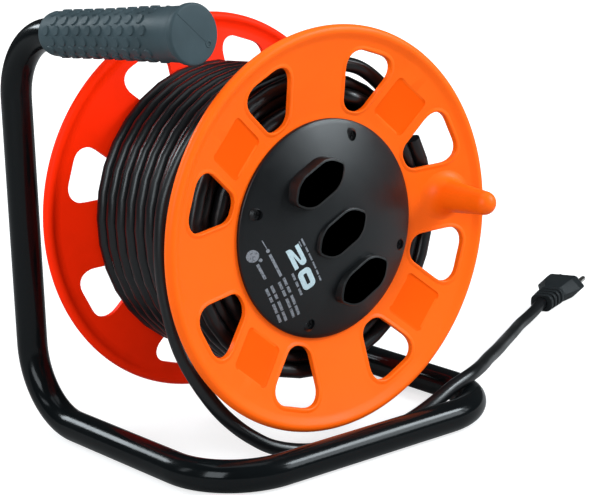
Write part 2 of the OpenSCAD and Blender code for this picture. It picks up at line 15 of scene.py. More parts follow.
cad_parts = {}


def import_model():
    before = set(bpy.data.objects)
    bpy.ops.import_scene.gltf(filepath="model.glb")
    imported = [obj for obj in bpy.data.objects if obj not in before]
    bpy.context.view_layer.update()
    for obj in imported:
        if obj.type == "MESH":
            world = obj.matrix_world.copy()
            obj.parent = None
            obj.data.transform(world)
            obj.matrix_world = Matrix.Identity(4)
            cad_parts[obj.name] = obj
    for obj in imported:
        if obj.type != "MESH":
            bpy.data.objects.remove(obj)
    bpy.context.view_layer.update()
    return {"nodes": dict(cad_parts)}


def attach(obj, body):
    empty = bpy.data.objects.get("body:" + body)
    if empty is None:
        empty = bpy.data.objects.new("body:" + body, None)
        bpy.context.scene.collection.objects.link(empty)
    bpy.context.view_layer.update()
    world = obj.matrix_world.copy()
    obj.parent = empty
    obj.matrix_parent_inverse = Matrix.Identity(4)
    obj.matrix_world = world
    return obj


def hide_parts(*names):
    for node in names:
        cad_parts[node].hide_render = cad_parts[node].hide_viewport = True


LOG = logging.getLogger("reel")
MM = 0.001
SAME = 1e-7
LYING = Matrix(((0, 0, 1, 0), (0, 1, 0, 0), (-1, 0, 0, 0), (0, 0, 0, 1)))
Pair = tuple[float, float]
Point = tuple[float, float, float]
Mesh = bmesh.types.BMesh
Face = bmesh.types.BMFace
Edge = bmesh.types.BMEdge
Vert = bmesh.types.BMVert
Piece = bpy.types.Object
Tree = bpy.types.NodeTree
Socket = bpy.types.NodeSocket


class Body(Enum):
    """The two bodies that a piece can ride on."""

    FRAME = "frame"
    DRUM = "drum"


class Grain(Enum):
    """How the fine relief of a finish runs."""

    EVEN = "even"
    BRUSHED = "brushed"
    PITTED = "pitted"


# ---------------------------------------------------------------- finishes


def feed(tree: Tree, node: bpy.types.Node, inputs: dict[str | int, float | Sequence[float] | Socket]) -> None:
    """Fills a node's inputs.

    Args:
        tree: The nodes that hold it.
        node: The node.
        inputs: The value of each input, or the socket that feeds it.
    """
    for name, value in inputs.items():
        if isinstance(value, Socket):
            tree.links.new(value, node.inputs[name])
        else:
            node.inputs[name].default_value = value


def add_node(
    tree: Tree, kind: str, inputs: dict[str | int, float | Sequence[float] | Socket], operation: str = ""
) -> bpy.types.Node:
    """Adds a node and fills its inputs.

    Args:
        tree: The nodes to add to.
        kind: Its type.
        inputs: The value of each input, or the socket that feeds it.
        operation: What a maths node does.

    Returns:
        The node.
    """
    made = tree.nodes.new(f"ShaderNode{kind}")
    if operation:
        made.operation = operation
    feed(tree, made, inputs)
    return made


@dataclass(frozen=True)
class Finish:
    """A moulded, painted or plated surface.

    Attributes:
        name: Name of the material.
        colour: Linear base colour.
        roughness: Middle of the roughness.
        spread: How far the roughness goes up and down.
        mottle: Share by which slow noise darkens the colour.
        mottle_scale: Scale of that slow noise, per metre.
        grain_scale: Scale of the fine relief, per metre.
        grain_depth: Height of the fine relief in metres.
        grain: How the fine relief runs.
        metallic: Share of metal.
        specular: Specular level of the clear surface.
        coat: Weight of a clear coat.
        coat_roughness: Roughness of the clear coat.
        scuff: Share by which rubbed spots turn paler.
    """

    name: str
    colour: Point
    roughness: float
    spread: float = 0.06
    mottle: float = 0.08
    mottle_scale: float = 38.0
    grain_scale: float = 900.0
    grain_depth: float = 0.00004
    grain: Grain = Grain.EVEN
    metallic: float = 0.0
    specular: float = 0.4
    coat: float = 0.0
    coat_roughness: float = 0.1
    scuff: float = 0.0

    def material(self) -> bpy.types.Material:
        """Makes the material once, and finds it again afterwards.

        Returns:
            The material with its procedural nodes.
        """
        title = f"{self.name}_finish"
        known = bpy.data.materials.get(title)
        if known:
            return known
        made = bpy.data.materials.new(title)
        made.use_nodes = True
        tree = made.node_tree
        spot = tree.nodes.new("ShaderNodeTexCoord").outputs["Object"]
        noise = add_node(tree, "TexNoise", {"Vector": spot, "Scale": self.mottle_scale, "Detail": 4.0})
        slow = noise.outputs["Fac"]
        low, high = max(0.02, self.roughness - self.spread), min(1.0, self.roughness + self.spread)
        level = add_node(tree, "MapRange", {
            "Value": slow, "From Min": 0.3, "From Max": 0.7, "To Min": low, "To Max": high})
        feed(tree, tree.nodes["Principled BSDF"], {
            "Metallic": self.metallic, "Specular IOR Level": self.specular, "Coat Weight": self.coat,
            "Coat Roughness": self.coat_roughness, "Base Color": self._tones(tree, slow),
            "Roughness": level.outputs["Result"], "Normal": self._relief(tree, spot)})
        return made

    def _tones(self, tree: Tree, slow: Socket) -> Socket:
        """Varies the base colour between a darker, the plain and a rubbed tone.

        Args:
            tree: The material's nodes.
            slow: The slow noise.

        Returns:
            The colour.
        """
        ramp = add_node(tree, "ValToRGB", {"Fac": slow})
        stops = ramp.color_ramp.elements
        stops[0].position, stops[1].position = 0.34, 0.52
        stops[0].color = (*[c * (1.0 - self.mottle) for c in self.colour], 1.0)
        stops[1].color = (*self.colour, 1.0)
        pale = 0.6
        stops.new(0.72).color = (*[c + max(0.0, pale - c) * self.scuff for c in self.colour], 1.0)
        return ramp.outputs["Color"]

    def _relief(self, tree: Tree, spot: Socket) -> Socket:
        """Makes the fine relief: an even grain, brush lines or small pits.

        Args:
            tree: The material's nodes.
            spot: The object coordinates.

        Returns:
            The normal.
        """
        if self.grain is Grain.BRUSHED:
            lines = add_node(tree, "Mapping", {"Vector": spot, "Scale": (1.0, 0.04, 1.0)})
            spot = lines.outputs["Vector"]
        if self.grain is Grain.PITTED:
            pits = add_node(tree, "TexVoronoi", {"Vector": spot, "Scale": self.grain_scale})
            height = pits.outputs["Distance"]
        else:
            noise = add_node(tree, "TexNoise", {"Vector": spot, "Scale": self.grain_scale, "Detail": 2.0})
            height = noise.outputs["Fac"]
        bump = add_node(tree, "Bump", {"Strength": 1.0, "Distance": self.grain_depth, "Height": height})
        return bump.outputs["Normal"]


ORANGE = Finish("orange_moulding", (0.97, 0.12, 0.003), 0.4, mottle=0.04, grain_scale=1400, specular=0.12)
# Pitted, rougher orange of the panel floors, also darker and redder as painted shade in the shallow recesses.
PANEL_GRAIN_AND_SHADE = Finish("orange_panel_grain_and_shade", (0.9, 0.088, 0.0008), 0.6, mottle=0.05, grain_scale=1400, grain=Grain.PITTED,
               specular=0.04)
# The same orange moulding made redder and darker: painted shade of the rear flange's inner face, which the
# front flange and the winding keep in shadow.
SHADED_ORANGE = Finish("orange_painted_shade", (1.0, 0.022, 0.001), 0.42, mottle=0.05, grain_scale=1400,
                    specular=0.05)
ENAMEL = Finish("tube_enamel", (0.0034, 0.0044, 0.005), 0.17, spread=0.04, grain_scale=420,
                grain_depth=0.00002, specular=0.15, coat=0.04)
GRIP_RUBBER = Finish("grip_rubber", (0.037, 0.058, 0.067), 0.5, mottle=0.16, grain_scale=1700,
                     specular=0.15, scuff=0.01)
COVER = Finish("cover_moulding", (0.005, 0.0058, 0.0066), 0.36, spread=0.05, mottle=0.12, grain_scale=2100,
               grain_depth=0.00003, grain=Grain.PITTED, specular=0.32, scuff=0.002)
# A shade darker than the cover: painted shade that keeps the socket wells and collars dark.
SHADED_SOCKET = Finish("socket_moulding_painted_shade", (0.0045, 0.005, 0.0055), 0.4, spread=0.05, mottle=0.12, grain_scale=2100,
                grain_depth=0.00003, grain=Grain.PITTED)
SHEATH = Finish("cord_sheath", (0.004, 0.0043, 0.005), 0.32, grain_scale=1100, grain_depth=0.00003,
                specular=0.36)
PLUG_RUBBER = Finish("plug_rubber", (0.01, 0.0125, 0.014), 0.46, grain_scale=1500, specular=0.2, scuff=0.006)
NICKEL = Finish("nickel", (0.72, 0.69, 0.65), 0.2, spread=0.05, mottle=0.06, grain=Grain.BRUSHED,
                metallic=1.0)
ZINC = Finish("zinc_steel", (0.6, 0.61, 0.62), 0.34, spread=0.08, mottle=0.15, grain=Grain.BRUSHED,
              metallic=1.0)
BRASS = Finish("contact_brass", (0.76, 0.52, 0.2), 0.3, mottle=0.14, grain=Grain.BRUSHED, metallic=1.0)
DARK_STEEL = Finish("dark_screw", (0.012, 0.012, 0.013), 0.4, mottle=0.15, grain=Grain.BRUSHED, metallic=0.8)
INSULATOR = Finish("insulator", (0.02, 0.021, 0.023), 0.5, grain=Grain.PITTED)
INK = Finish("print_ink", (0.44, 0.56, 0.6), 0.5, mottle=0.12, mottle_scale=420, grain_scale=2400,
             specular=0.2)
FINE_INK = Finish("fine_print_ink", (0.2, 0.215, 0.24), 0.5, mottle=0.55, mottle_scale=900,
                  grain_scale=2400, specular=0.2)


# ---------------------------------------------------------------- mesh tools


def lathe(bm: Mesh, profile: Sequence[Pair], steps: int) -> None:
    """Spins a profile once round the z axis.

    Args:
        bm: The mesh to add to.
        profile: Radius and height of each point, in millimetres.
        steps: Steps of the full turn.
    """
    before = set(bm.verts)
    chain = [bm.verts.new((r * MM, 0.0, z * MM)) for r, z in profile]
    edges = [bm.edges.new(pair) for pair in zip(chain, chain[1:])]
    bmesh.ops.spin(bm, geom=chain + edges, cent=(0, 0, 0), axis=(0, 0, 1), angle=math.tau, steps=steps,
                   use_merge=True)
    bmesh.ops.remove_doubles(bm, verts=[v for v in bm.verts if v not in before], dist=SAME)


def arc(centre: Pair, radius: float, start: float, end: float, steps: int) -> list[Pair]:
    """Points of an arc in a profile.

    Args:
        centre: Radius and height of its middle.
        radius: Its radius.
        start: First angle in degrees.
        end: Last angle in degrees.
        steps: How many pieces it has.

    Returns:
        The points, both ends among them.
    """
    turns = [math.radians(start + (end - start) * k / steps) for k in range(steps + 1)]
    return [(centre[0] + radius * math.cos(t), centre[1] + radius * math.sin(t)) for t in turns]


def rectangle(low: float, high: float, half: float) -> list[Pair]:
    """Corners of a rectangle from x low to high, with y half to each side."""
    return [(low, -half), (high, -half), (high, half), (low, half)]


def outline(bm: Mesh, corners: Sequence[Pair], radii: Sequence[float], z: float, segments: int = 8) -> Face:
    """Makes a flat face with rounded corners.

    Args:
        bm: The mesh to add to.
        corners: Sharp corners in order, in millimetres.
        radii: Radius of each corner.
        z: Height of the face.
        segments: Segments of each rounded corner.

    Returns:
        The face.
    """
    points = [Vector((x, y, z)) * MM for x, y in corners]
    verts = [bm.verts.new(p) for p in points]
    face = bm.faces.new(verts)
    for k, vert in enumerate(verts):
        back = (points[k - 1] - points[k]).normalized()
        on = (points[(k + 1) % len(points)] - points[k]).normalized()
        reach = radii[k] * MM / math.tan(back.angle(on) / 2)
        bmesh.ops.bevel(bm, geom=[vert], offset=reach, offset_type="OFFSET", affect="VERTICES",
                        segments=segments, profile=0.5, material=-1, clamp_overlap=False)
    level = [f for f in bm.faces if all(abs(v.co.z - z * MM) < 10 * SAME for v in f.verts)]
    return max(level, key=lambda f: len(f.verts))


def loft(bm: Mesh, loops: Sequence[list[Edge]], closed: bool = False) -> None:
    """Joins loops of edges with faces, one to the next.

    Args:
        bm: The mesh that holds them.
        loops: The loops in order.
        closed: Whether the last joins the first.
    """
    pairs = list(zip(loops, loops[1:])) + ([(loops[-1], loops[0])] if closed else [])
    for a, b in pairs:
        bmesh.ops.bridge_loops(bm, edges=list(a) + list(b))


def skin(
    bm: Mesh, sections: Sequence[tuple[Sequence[Pair], Sequence[float], float]], segments: int = 8,
    closed: bool = False, capped: bool = False
) -> None:
    """Lofts a wall through rounded outlines.

    Args:
        bm: The mesh to add to.
        sections: Corners, corner radii and height of each outline.
        segments: Segments of each rounded corner.
        closed: Whether the last outline joins the first.
        capped: Whether the first and the last keep their faces.
    """
    loops = []
    for k, section in enumerate(sections):
        face = outline(bm, *section, segments)
        loops.append(face.edges[:])
        if not (capped and k in (0, len(sections) - 1)):
            bmesh.ops.delete(bm, geom=[face], context="FACES_ONLY")
    loft(bm, loops, closed)


def only(kind: type, geom: Sequence[object]) -> list:
    """The parts of one kind among what a mesh operator gives back."""
    return [part for part in geom if isinstance(part, kind)]


def block(
    corners: Sequence[Pair], radii: Sequence[float], z: float, height: float, segments: int = 8
) -> Mesh:
    """Makes an upright solid with rounded corners.

    Args:
        corners: Sharp corners in order, in millimetres.
        radii: Radius of each corner.
        z: Height of its underside.
        height: How tall it is.
        segments: Segments of each rounded corner.

    Returns:
        The mesh.
    """
    bm = bmesh.new()
    face = outline(bm, corners, radii, z, segments)
    top = bmesh.ops.extrude_face_region(bm, geom=[face], use_keep_orig=True)["geom"]
    bmesh.ops.translate(bm, verts=only(Vert, top), vec=(0, 0, height * MM))
    return bm


def carve(body: Mesh, tool: Mesh) -> Mesh:
    """Cuts one closed mesh out of another.

    Args:
        body: What is cut, freed afterwards.
        tool: What cuts, freed afterwards.

    Returns:
        The cut mesh.
    """
    objects = []
    for bm in (body, tool):
        bmesh.ops.recalc_face_normals(bm, faces=bm.faces)
        mesh = bpy.data.meshes.new("cut")
        bm.to_mesh(mesh)
        bm.free()
        item = bpy.data.objects.new("cut", mesh)
        bpy.context.scene.collection.objects.link(item)
        objects.append(item)
    step = objects[0].modifiers.new("cut", "BOOLEAN")
    step.operation, step.solver, step.object = "DIFFERENCE", "EXACT", objects[1]
    step.use_self = True
    seen = objects[0].evaluated_get(bpy.context.evaluated_depsgraph_get())
    done = bmesh.new()
    done.from_mesh(seen.to_mesh())
    seen.to_mesh_clear()
    for item in objects:
        mesh = item.data
        bpy.data.objects.remove(item)
        bpy.data.meshes.remove(mesh)
    return done


def shift(x: float, y: float, z: float) -> Matrix:
    """A move, in millimetres."""
    return Matrix.Translation(Vector((x, y, z)) * MM)


def polar(angle: float, reach: float = 0.0) -> Matrix:
    """A move along x in millimetres and then a turn about z in degrees."""
    return Matrix.Rotation(math.radians(angle), 4, "Z") @ shift(reach, 0, 0)


def place(bm: Mesh, matrix: Matrix) -> None:
    """Moves a whole mesh by a matrix."""
    bmesh.ops.transform(bm, matrix=matrix, verts=bm.verts)


def join(bm: Mesh, other: Mesh, at: Matrix = Matrix()) -> None:
    """Adds another mesh's parts to this one, and frees the other.

    Args:
        bm: The mesh to add to.
        other: The mesh that is added.
        at: Where it goes.
    """
    place(other, at)
    held = bpy.data.meshes.new("held")
    other.to_mesh(held)
    other.free()
    bm.from_mesh(held)
    bpy.data.meshes.remove(held)


def settle(
    bm: Mesh, name: str, finish: Finish, body: Body, stands_for: Sequence[str] = (),
    crease: float = 32.0
) -> Piece:
    """Turns a mesh into a finished piece that rides on a body.

    Args:
        bm: The mesh in its place, freed afterwards.
        name: Name of the piece.
        finish: Its finish.
        body: The body that it rides on.
        stands_for: The solids that it replaces.
        crease: Angle in degrees from which an edge is sharp.

    Returns:
        The piece.
    """
    bmesh.ops.remove_doubles(bm, verts=bm.verts, dist=SAME)
    bmesh.ops.dissolve_degenerate(bm, edges=bm.edges, dist=SAME)
    bmesh.ops.recalc_face_normals(bm, faces=bm.faces)
    mesh = bpy.data.meshes.new(name)
    bm.to_mesh(mesh)
    bm.free()
    mesh.materials.append(finish.material())
    mesh.shade_smooth()
    mesh.set_sharp_from_angle(angle=math.radians(crease))
    return enrol(bpy.data.objects.new(name, mesh), body, stands_for)


def enrol(item: Piece, body: Body, stands_for: Sequence[str] = ()) -> Piece:
    """Links a piece, lets it ride and reports it.

    Args:
        item: The new object.
        body: The body that it rides on.
        stands_for: The solids that it replaces.

    Returns:
        The same object.
    """
    bpy.context.scene.collection.objects.link(item)
    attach(item, body.value)
    if stands_for:
        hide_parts(*stands_for)
    size = len(item.data.polygons if item.type == "MESH" else item.data.splines)
    LOG.info("%s: %s, %d faces or curves, stands for %s", item.name, body.value, size, list(stands_for))
    return item


# ---------------------------------------------------------------- places


@dataclass(frozen=True)
class Drum:
    """Where the drum is, with its own z axis pointing to the front.

    Attributes:
        at: Its middle, in millimetres.
        rest: Its angle at rest, in degrees.
        hub_front: Height of the flat hub ring.
        wall: Wall of a flange.
        crease_r: Radius where the dish starts.
        rim_r: Radius where the dish meets the bead.
        rim_z: Height of the dish there.
    """

    at: Point = (-2.0, -6.0, 134.5)
    rest: float = 27.0
    hub_front: float = 54.5
    wall: float = 3.0
    crease_r: float = 68.0
    rim_r: float = 113.5
    rim_z: float = 65.0

    def matrix(self, mirrored: bool = False) -> Matrix:
        """The drum's place.

        Args:
            mirrored: Whether the piece faces the rear.

        Returns:
            The matrix from drum metres to the row frame.
        """
        c, s = math.cos(math.radians(self.rest)), math.sin(math.radians(self.rest))
        x, y, z = (p * MM for p in self.at)
        turn = Matrix(((c, -s, 0, x), (0, 0, -1, y), (s, c, 0, z), (0, 0, 0, 1)))
        return turn @ Matrix.Diagonal((1, 1, -1, 1)) if mirrored else turn

    def slope(self) -> float:
        """Rise of the dish for each millimetre outwards."""
        return (self.rim_z - self.hub_front) / (self.rim_r - self.crease_r)

    def dish(self, r: float) -> float:
        """Height of a flange's face at a radius, in millimetres."""
        return self.hub_front + max(0.0, r - self.crease_r) * self.slope()

    def point(self, r: float, angle: float, z: float) -> Vector:
        """A point of the drum in the row frame, from its radius, angle and height in millimetres."""
        a = math.radians(angle)
        return self.matrix() @ (Vector((r * math.cos(a), r * math.sin(a), z)) * MM)


# ---------------------------------------------------------------- studio


@dataclass
class Studio:
    """Camera, pale floor and soft light.

    Attributes:
        camera_at: Place of the camera.
        heading: Angle of the camera about z, in degrees.
        dip: How far it looks down, in degrees.
        roll: Its roll, in degrees.
        lens: Focal length on a 36 mm wide sensor.
        ambient: Strength of the even light from all round.
        mirrored: Strength of what glossy surfaces see of it.
        floor_grey: Grey of the floor.
        floor_mirrored: What glossy surfaces see of that grey.
        floor_glow: Own glow of the floor near the reel, which rises to white further out.
        lamp_colour: Colour of every lamp.
        aim: The point that the lamps look at.
        lamps: Name, place, size and watts of each lamp.
    """

    camera_at: Point = (-0.6243, -0.8102, 0.3537)
    heading: float = -38.80866
    dip: float = 13.28971
    roll: float = -1.55981
    lens: float = 102.07
    ambient: float = 0.6
    mirrored: float = 0.04
    floor_grey: float = 0.4
    floor_mirrored: float = 0.35
    floor_glow: float = 0.7
    lamp_colour: Point = (0.86, 0.95, 1.0)
    aim: Point = (0.0, 0.0, 0.13)
    lamps: tuple[tuple[str, Point, Pair, float], ...] = (
        ("key_panel", (-1.9, -0.9, 1.1), (0.9, 1.4), 30.0),
        ("side_strip", (1.7, -1.0, 1.2), (0.25, 1.2), 4.0),
        ("top_panel", (0.1, 0.2, 2.3), (1.6, 1.2), 8.0),
        ("sheen_panel", (1.25, -1.5, 0.85), (0.9, 0.7), 14.0),
        ("rail_panel", (1.3, -1.1, 1.35), (0.8, 0.45), 30.0),
        ("left_panel", (-2.0, 0.6, 1.2), (0.3, 0.9), 3.0),
        ("back_panel", (-0.94, 1.83, 1.27), (0.8, 0.5), 22.0),
    )

    def build(self) -> None:
        """Makes the camera, the world, the floor and the lamps."""
        self._camera()
        self._world()
        self._floor()
        for lamp in self.lamps:
            self._lamp(*lamp)
        bpy.context.scene.view_settings.view_transform = "Standard"

    def _camera(self) -> None:
        """Makes the camera at the viewing angle."""
        camera = bpy.data.objects.new("camera", bpy.data.cameras.new("camera"))
        camera.data.lens, camera.data.sensor_width = self.lens, 36.0
        camera.data.sensor_fit = "HORIZONTAL"
        camera.data.clip_start, camera.data.clip_end = 0.05, 60.0
        stand = Matrix.Translation(self.camera_at)
        for angle, axis in ((self.heading, "Z"), (90.0 - self.dip, "X"), (self.roll, "Z")):
            stand = stand @ Matrix.Rotation(math.radians(angle), 4, axis)
        camera.matrix_world = stand
        bpy.context.scene.collection.objects.link(camera)
        bpy.context.scene.camera = camera

    def _world(self) -> None:
        """Makes the world: white where it is seen, softer as light."""
        world = bpy.data.worlds.new("studio")
        world.use_nodes = True
        bpy.context.scene.world = world
        tree = world.node_tree
        ray = tree.nodes.new("ShaderNodeLightPath").outputs
        level = add_node(tree, "MapRange", {
            "Value": ray["Is Glossy Ray"], "To Min": self.ambient, "To Max": self.mirrored})
        level = add_node(tree, "MapRange", {
            "Value": ray["Is Camera Ray"], "To Min": level.outputs["Result"], "To Max": 1.0})
        feed(tree, tree.nodes["Background"], {"Color": (1, 1, 1, 1), "Strength": level.outputs["Result"]})

    def _floor(self) -> None:
        """Makes the floor, which keeps the object's shadow."""
        bm = bmesh.new()
        bmesh.ops.create_grid(bm, x_segments=8, y_segments=8, size=9.0)
        mesh = bpy.data.meshes.new("floor")
        bm.to_mesh(mesh)
        bm.free()
        floor = bpy.data.objects.new("floor", mesh)
        material = bpy.data.materials.new("pale_floor")
        material.use_nodes = True
        tree = material.node_tree
        ray = tree.nodes.new("ShaderNodeLightPath").outputs
        at = tree.nodes.new("ShaderNodeTexCoord").outputs["Object"]
        away = add_node(tree, "VectorMath", {0: at}, "LENGTH")
        rise = add_node(tree, "MapRange", {
            "Value": away.outputs["Value"], "From Min": 0.3, "From Max": 1.5, "To Min": self.floor_glow,
            "To Max": 1.0})
        glow = add_node(tree, "Math", {0: ray["Is Camera Ray"], 1: rise.outputs["Result"]}, "MULTIPLY")
        grey = add_node(tree, "MapRange", {
            "Value": ray["Is Glossy Ray"], "To Min": self.floor_grey, "To Max": self.floor_mirrored})
        feed(tree, tree.nodes["Principled BSDF"], {
            "Roughness": 0.9, "Specular IOR Level": 0.0, "Base Color": grey.outputs["Result"],
            "Emission Color": (1, 1, 1, 1), "Emission Strength": glow.outputs["Value"]})
        mesh.materials.append(material)
        bpy.context.scene.collection.objects.link(floor)

    def _lamp(self, name: str, at: Point, size: Pair, power: float) -> None:
        """Makes one soft panel that looks at the reel.

        Args:
            name: Name of the lamp.
            at: Its place.
            size: Its width and height.
            power: Its power in watts.
        """
        lamp = bpy.data.lights.new(name, "AREA")
        lamp.color = self.lamp_colour
        lamp.shape, lamp.size, lamp.size_y, lamp.energy = "RECTANGLE", *size, power
        item = bpy.data.objects.new(name, lamp)
        item.location = at
        item.rotation_euler = (Vector(self.aim) - Vector(at)).to_track_quat("-Z", "Y").to_euler()
        bpy.context.scene.collection.objects.link(item)


# ---------------------------------------------------------------- cord


def round_curve(name: str, radius: float, sides: int) -> bpy.types.Curve:
    """Makes an empty curve with a round section in the cord's finish.

    Args:
        name: Name of the curve.
        radius: Radius of the section in millimetres.
        sides: How finely the section is rounded.

    Returns:
        The curve.
    """
    curve = bpy.data.curves.new(name, "CURVE")
    curve.dimensions, curve.bevel_depth, curve.bevel_resolution = "3D", radius * MM, sides
    curve.use_fill_caps = True
    curve.materials.append(SHEATH.material())
    return curve


@dataclass
class WoundCord:
    """The cord on the drum, in five layers of one continuous line.

    Attributes:
        drum: The drum's place.
        radius: Radius of the cord in millimetres.
        layers: Radius and half width of each inner layer.
        turns: Turns in an inner layer.
        outer_turns: Turns in the outer layer.
        outer_r: Radius at which the outer layer lies tight.
        slack: How far the outer layer hangs.
        slack_at: Angle on the drum of the most slack.
        first: Angle at which the outer layer starts.
        last: Angle at which it ends, with its turns.
        pitch: Spacing of its turns.
        steps: Points in a turn.
    """

    drum: Drum
    radius: float = 4.4
    layers: tuple[Pair, ...] = ((56.6, 46.8), (64.3, 46.8), (71.9, 47.2), (79.4, 48.0))
    turns: int = 9
    outer_turns: int = 10
    outer_r: float = 86.8
    slack: float = 0.7
    slack_at: float = 208.0
    first: float = 60.0
    last: float = 3603.0
    pitch: float = 10.2
    steps: int = 36

    def route(self) -> list[Vector]:
        """The centreline from the barrel to the last turn.

        Returns:
            Points in the row frame.
        """
        line: list[Point] = []
        before = len(self.layers) * self.turns * 360
        count = self.turns * self.steps
        for k, (r, half) in enumerate(self.layers):
            side = 1 if k % 2 == 0 else -1
            for i in range(count):
                share = i / count
                angle = self.first - before + (k + share) * self.turns * 360
                line.append((r, angle, side * half * (1 - 2 * share)))
        count = round((self.last - self.first) / 360 * self.steps)
        for i in range(count + 1):
            angle = self.first + (self.last - self.first) * i / count
            z = self.pitch * (angle - self.first) / 360 - self.pitch * self.outer_turns / 2
            r = self.outer_r + self.slack * (1 + math.cos(math.radians(angle - self.slack_at))) / 2
            line.append((r, angle, z + 0.25 * math.sin(angle / 57.0) * math.sin(angle / 411.0)))
        return [self.drum.point(*p) for p in line]

    def build(self) -> Piece:
        """Makes the winding as one curve.

        Returns:
            The piece.
        """
        curve = round_curve("cord_turns", self.radius, 5)
        points = self.route()
        spline = curve.splines.new("POLY")
        spline.points.add(len(points) - 1)
        for spot, p in zip(spline.points, points):
            spot.co = (*p, 1.0)
        spline.use_smooth = True
        length = sum((b - a).length for a, b in zip(points, points[1:]))
        LOG.info("the winding holds %.2f m of cord", length)
        item = bpy.data.objects.new(curve.name, curve)
        return enrol(item, Body.DRUM, ("cord_winding", "cord_core"))


@dataclass
class CordLead:
    """The free end of the cord, from the last turn over the stand to the plug.

    Attributes:
        drum: The drum's place.
        radius: Radius of the cord in millimetres.
        lift: Points that leave the last turn, from the axle line, z from the floor.
        route: The rest of the route in the same terms.
    """

    drum: Drum
    radius: float = 4.4
    lift: tuple[Point, ...] = ((71.7, -49.3, 184.7), (63.6, -48.7, 198.1), (52.6, -47.4, 212.4))
    route: tuple[Point, ...] = (
        (38, -46, 224), (22, -45, 229), (0, -43, 232.5), (-30, -39, 227.5), (-58, -35, 213.5),
        (-79, -31, 192),
        (-93, -28, 165), (-98.5, -28, 138), (-99, -30, 112), (-98, -34, 93), (-96, -38, 78),
        (-92, -42, 65), (-86, -46, 52), (-79, -50, 40), (-71, -54, 30), (-61, -57, 21),
        (-48, -60, 12.5), (-30, -63, 6.5),
        (-12, -66, 4.4), (10, -68, 4.4), (32, -70.5, 5.5), (52, -71, 9), (70, -71.5, 15), (89, -69, 20.6),
        (108, -66, 23.9), (128, -55, 22.5), (148, -41.5, 20.5), (174, -24.5, 17.4), (203, -3.5, 13),
        (233, 17.5, 9), (259, 36, 5.6), (280, 48, 4.4), (296, 56, 4.9), (312, 63.5, 6.6),
    )

    def points(self) -> list[Vector]:
        """The whole route in the row frame."""
        foot = Vector((self.drum.at[0], self.drum.at[1], 0.0))
        return [(Vector(p) + foot) * MM for p in (*self.lift, *self.route)]

    def slope(self, k: int) -> Vector:
        """Direction of the curve at a route point.

        Args:
            k: Number of the point.

        Returns:
            The step to the next point, halved where it has one on each side and level at the plug.
        """
        points = self.points()
        last = len(points) - 1
        if k == last:
            step = points[k] - points[k - 1]
            return Vector((step.x, step.y, 0.0))
        return (points[k + 1] - points[k - 1]) / 2 if k else points[1] - points[0]

    def build(self) -> Piece:
        """Makes the free cord as one smooth curve.

        Returns:
            The piece.
        """
        curve = round_curve("cord_free_end", self.radius, 6)
        curve.resolution_u, curve.render_resolution_u = 8, 8
        points = self.points()
        spline = curve.splines.new("BEZIER")
        spline.bezier_points.add(len(points) - 1)
        for k, (spot, p) in enumerate(zip(spline.bezier_points, points)):
            spot.handle_left_type = spot.handle_right_type = "FREE"
            spot.co, spot.handle_left, spot.handle_right = p, p - self.slope(k) / 3, p + self.slope(k) / 3
        return enrol(bpy.data.objects.new(curve.name, curve), Body.FRAME, ("cord_lead",))


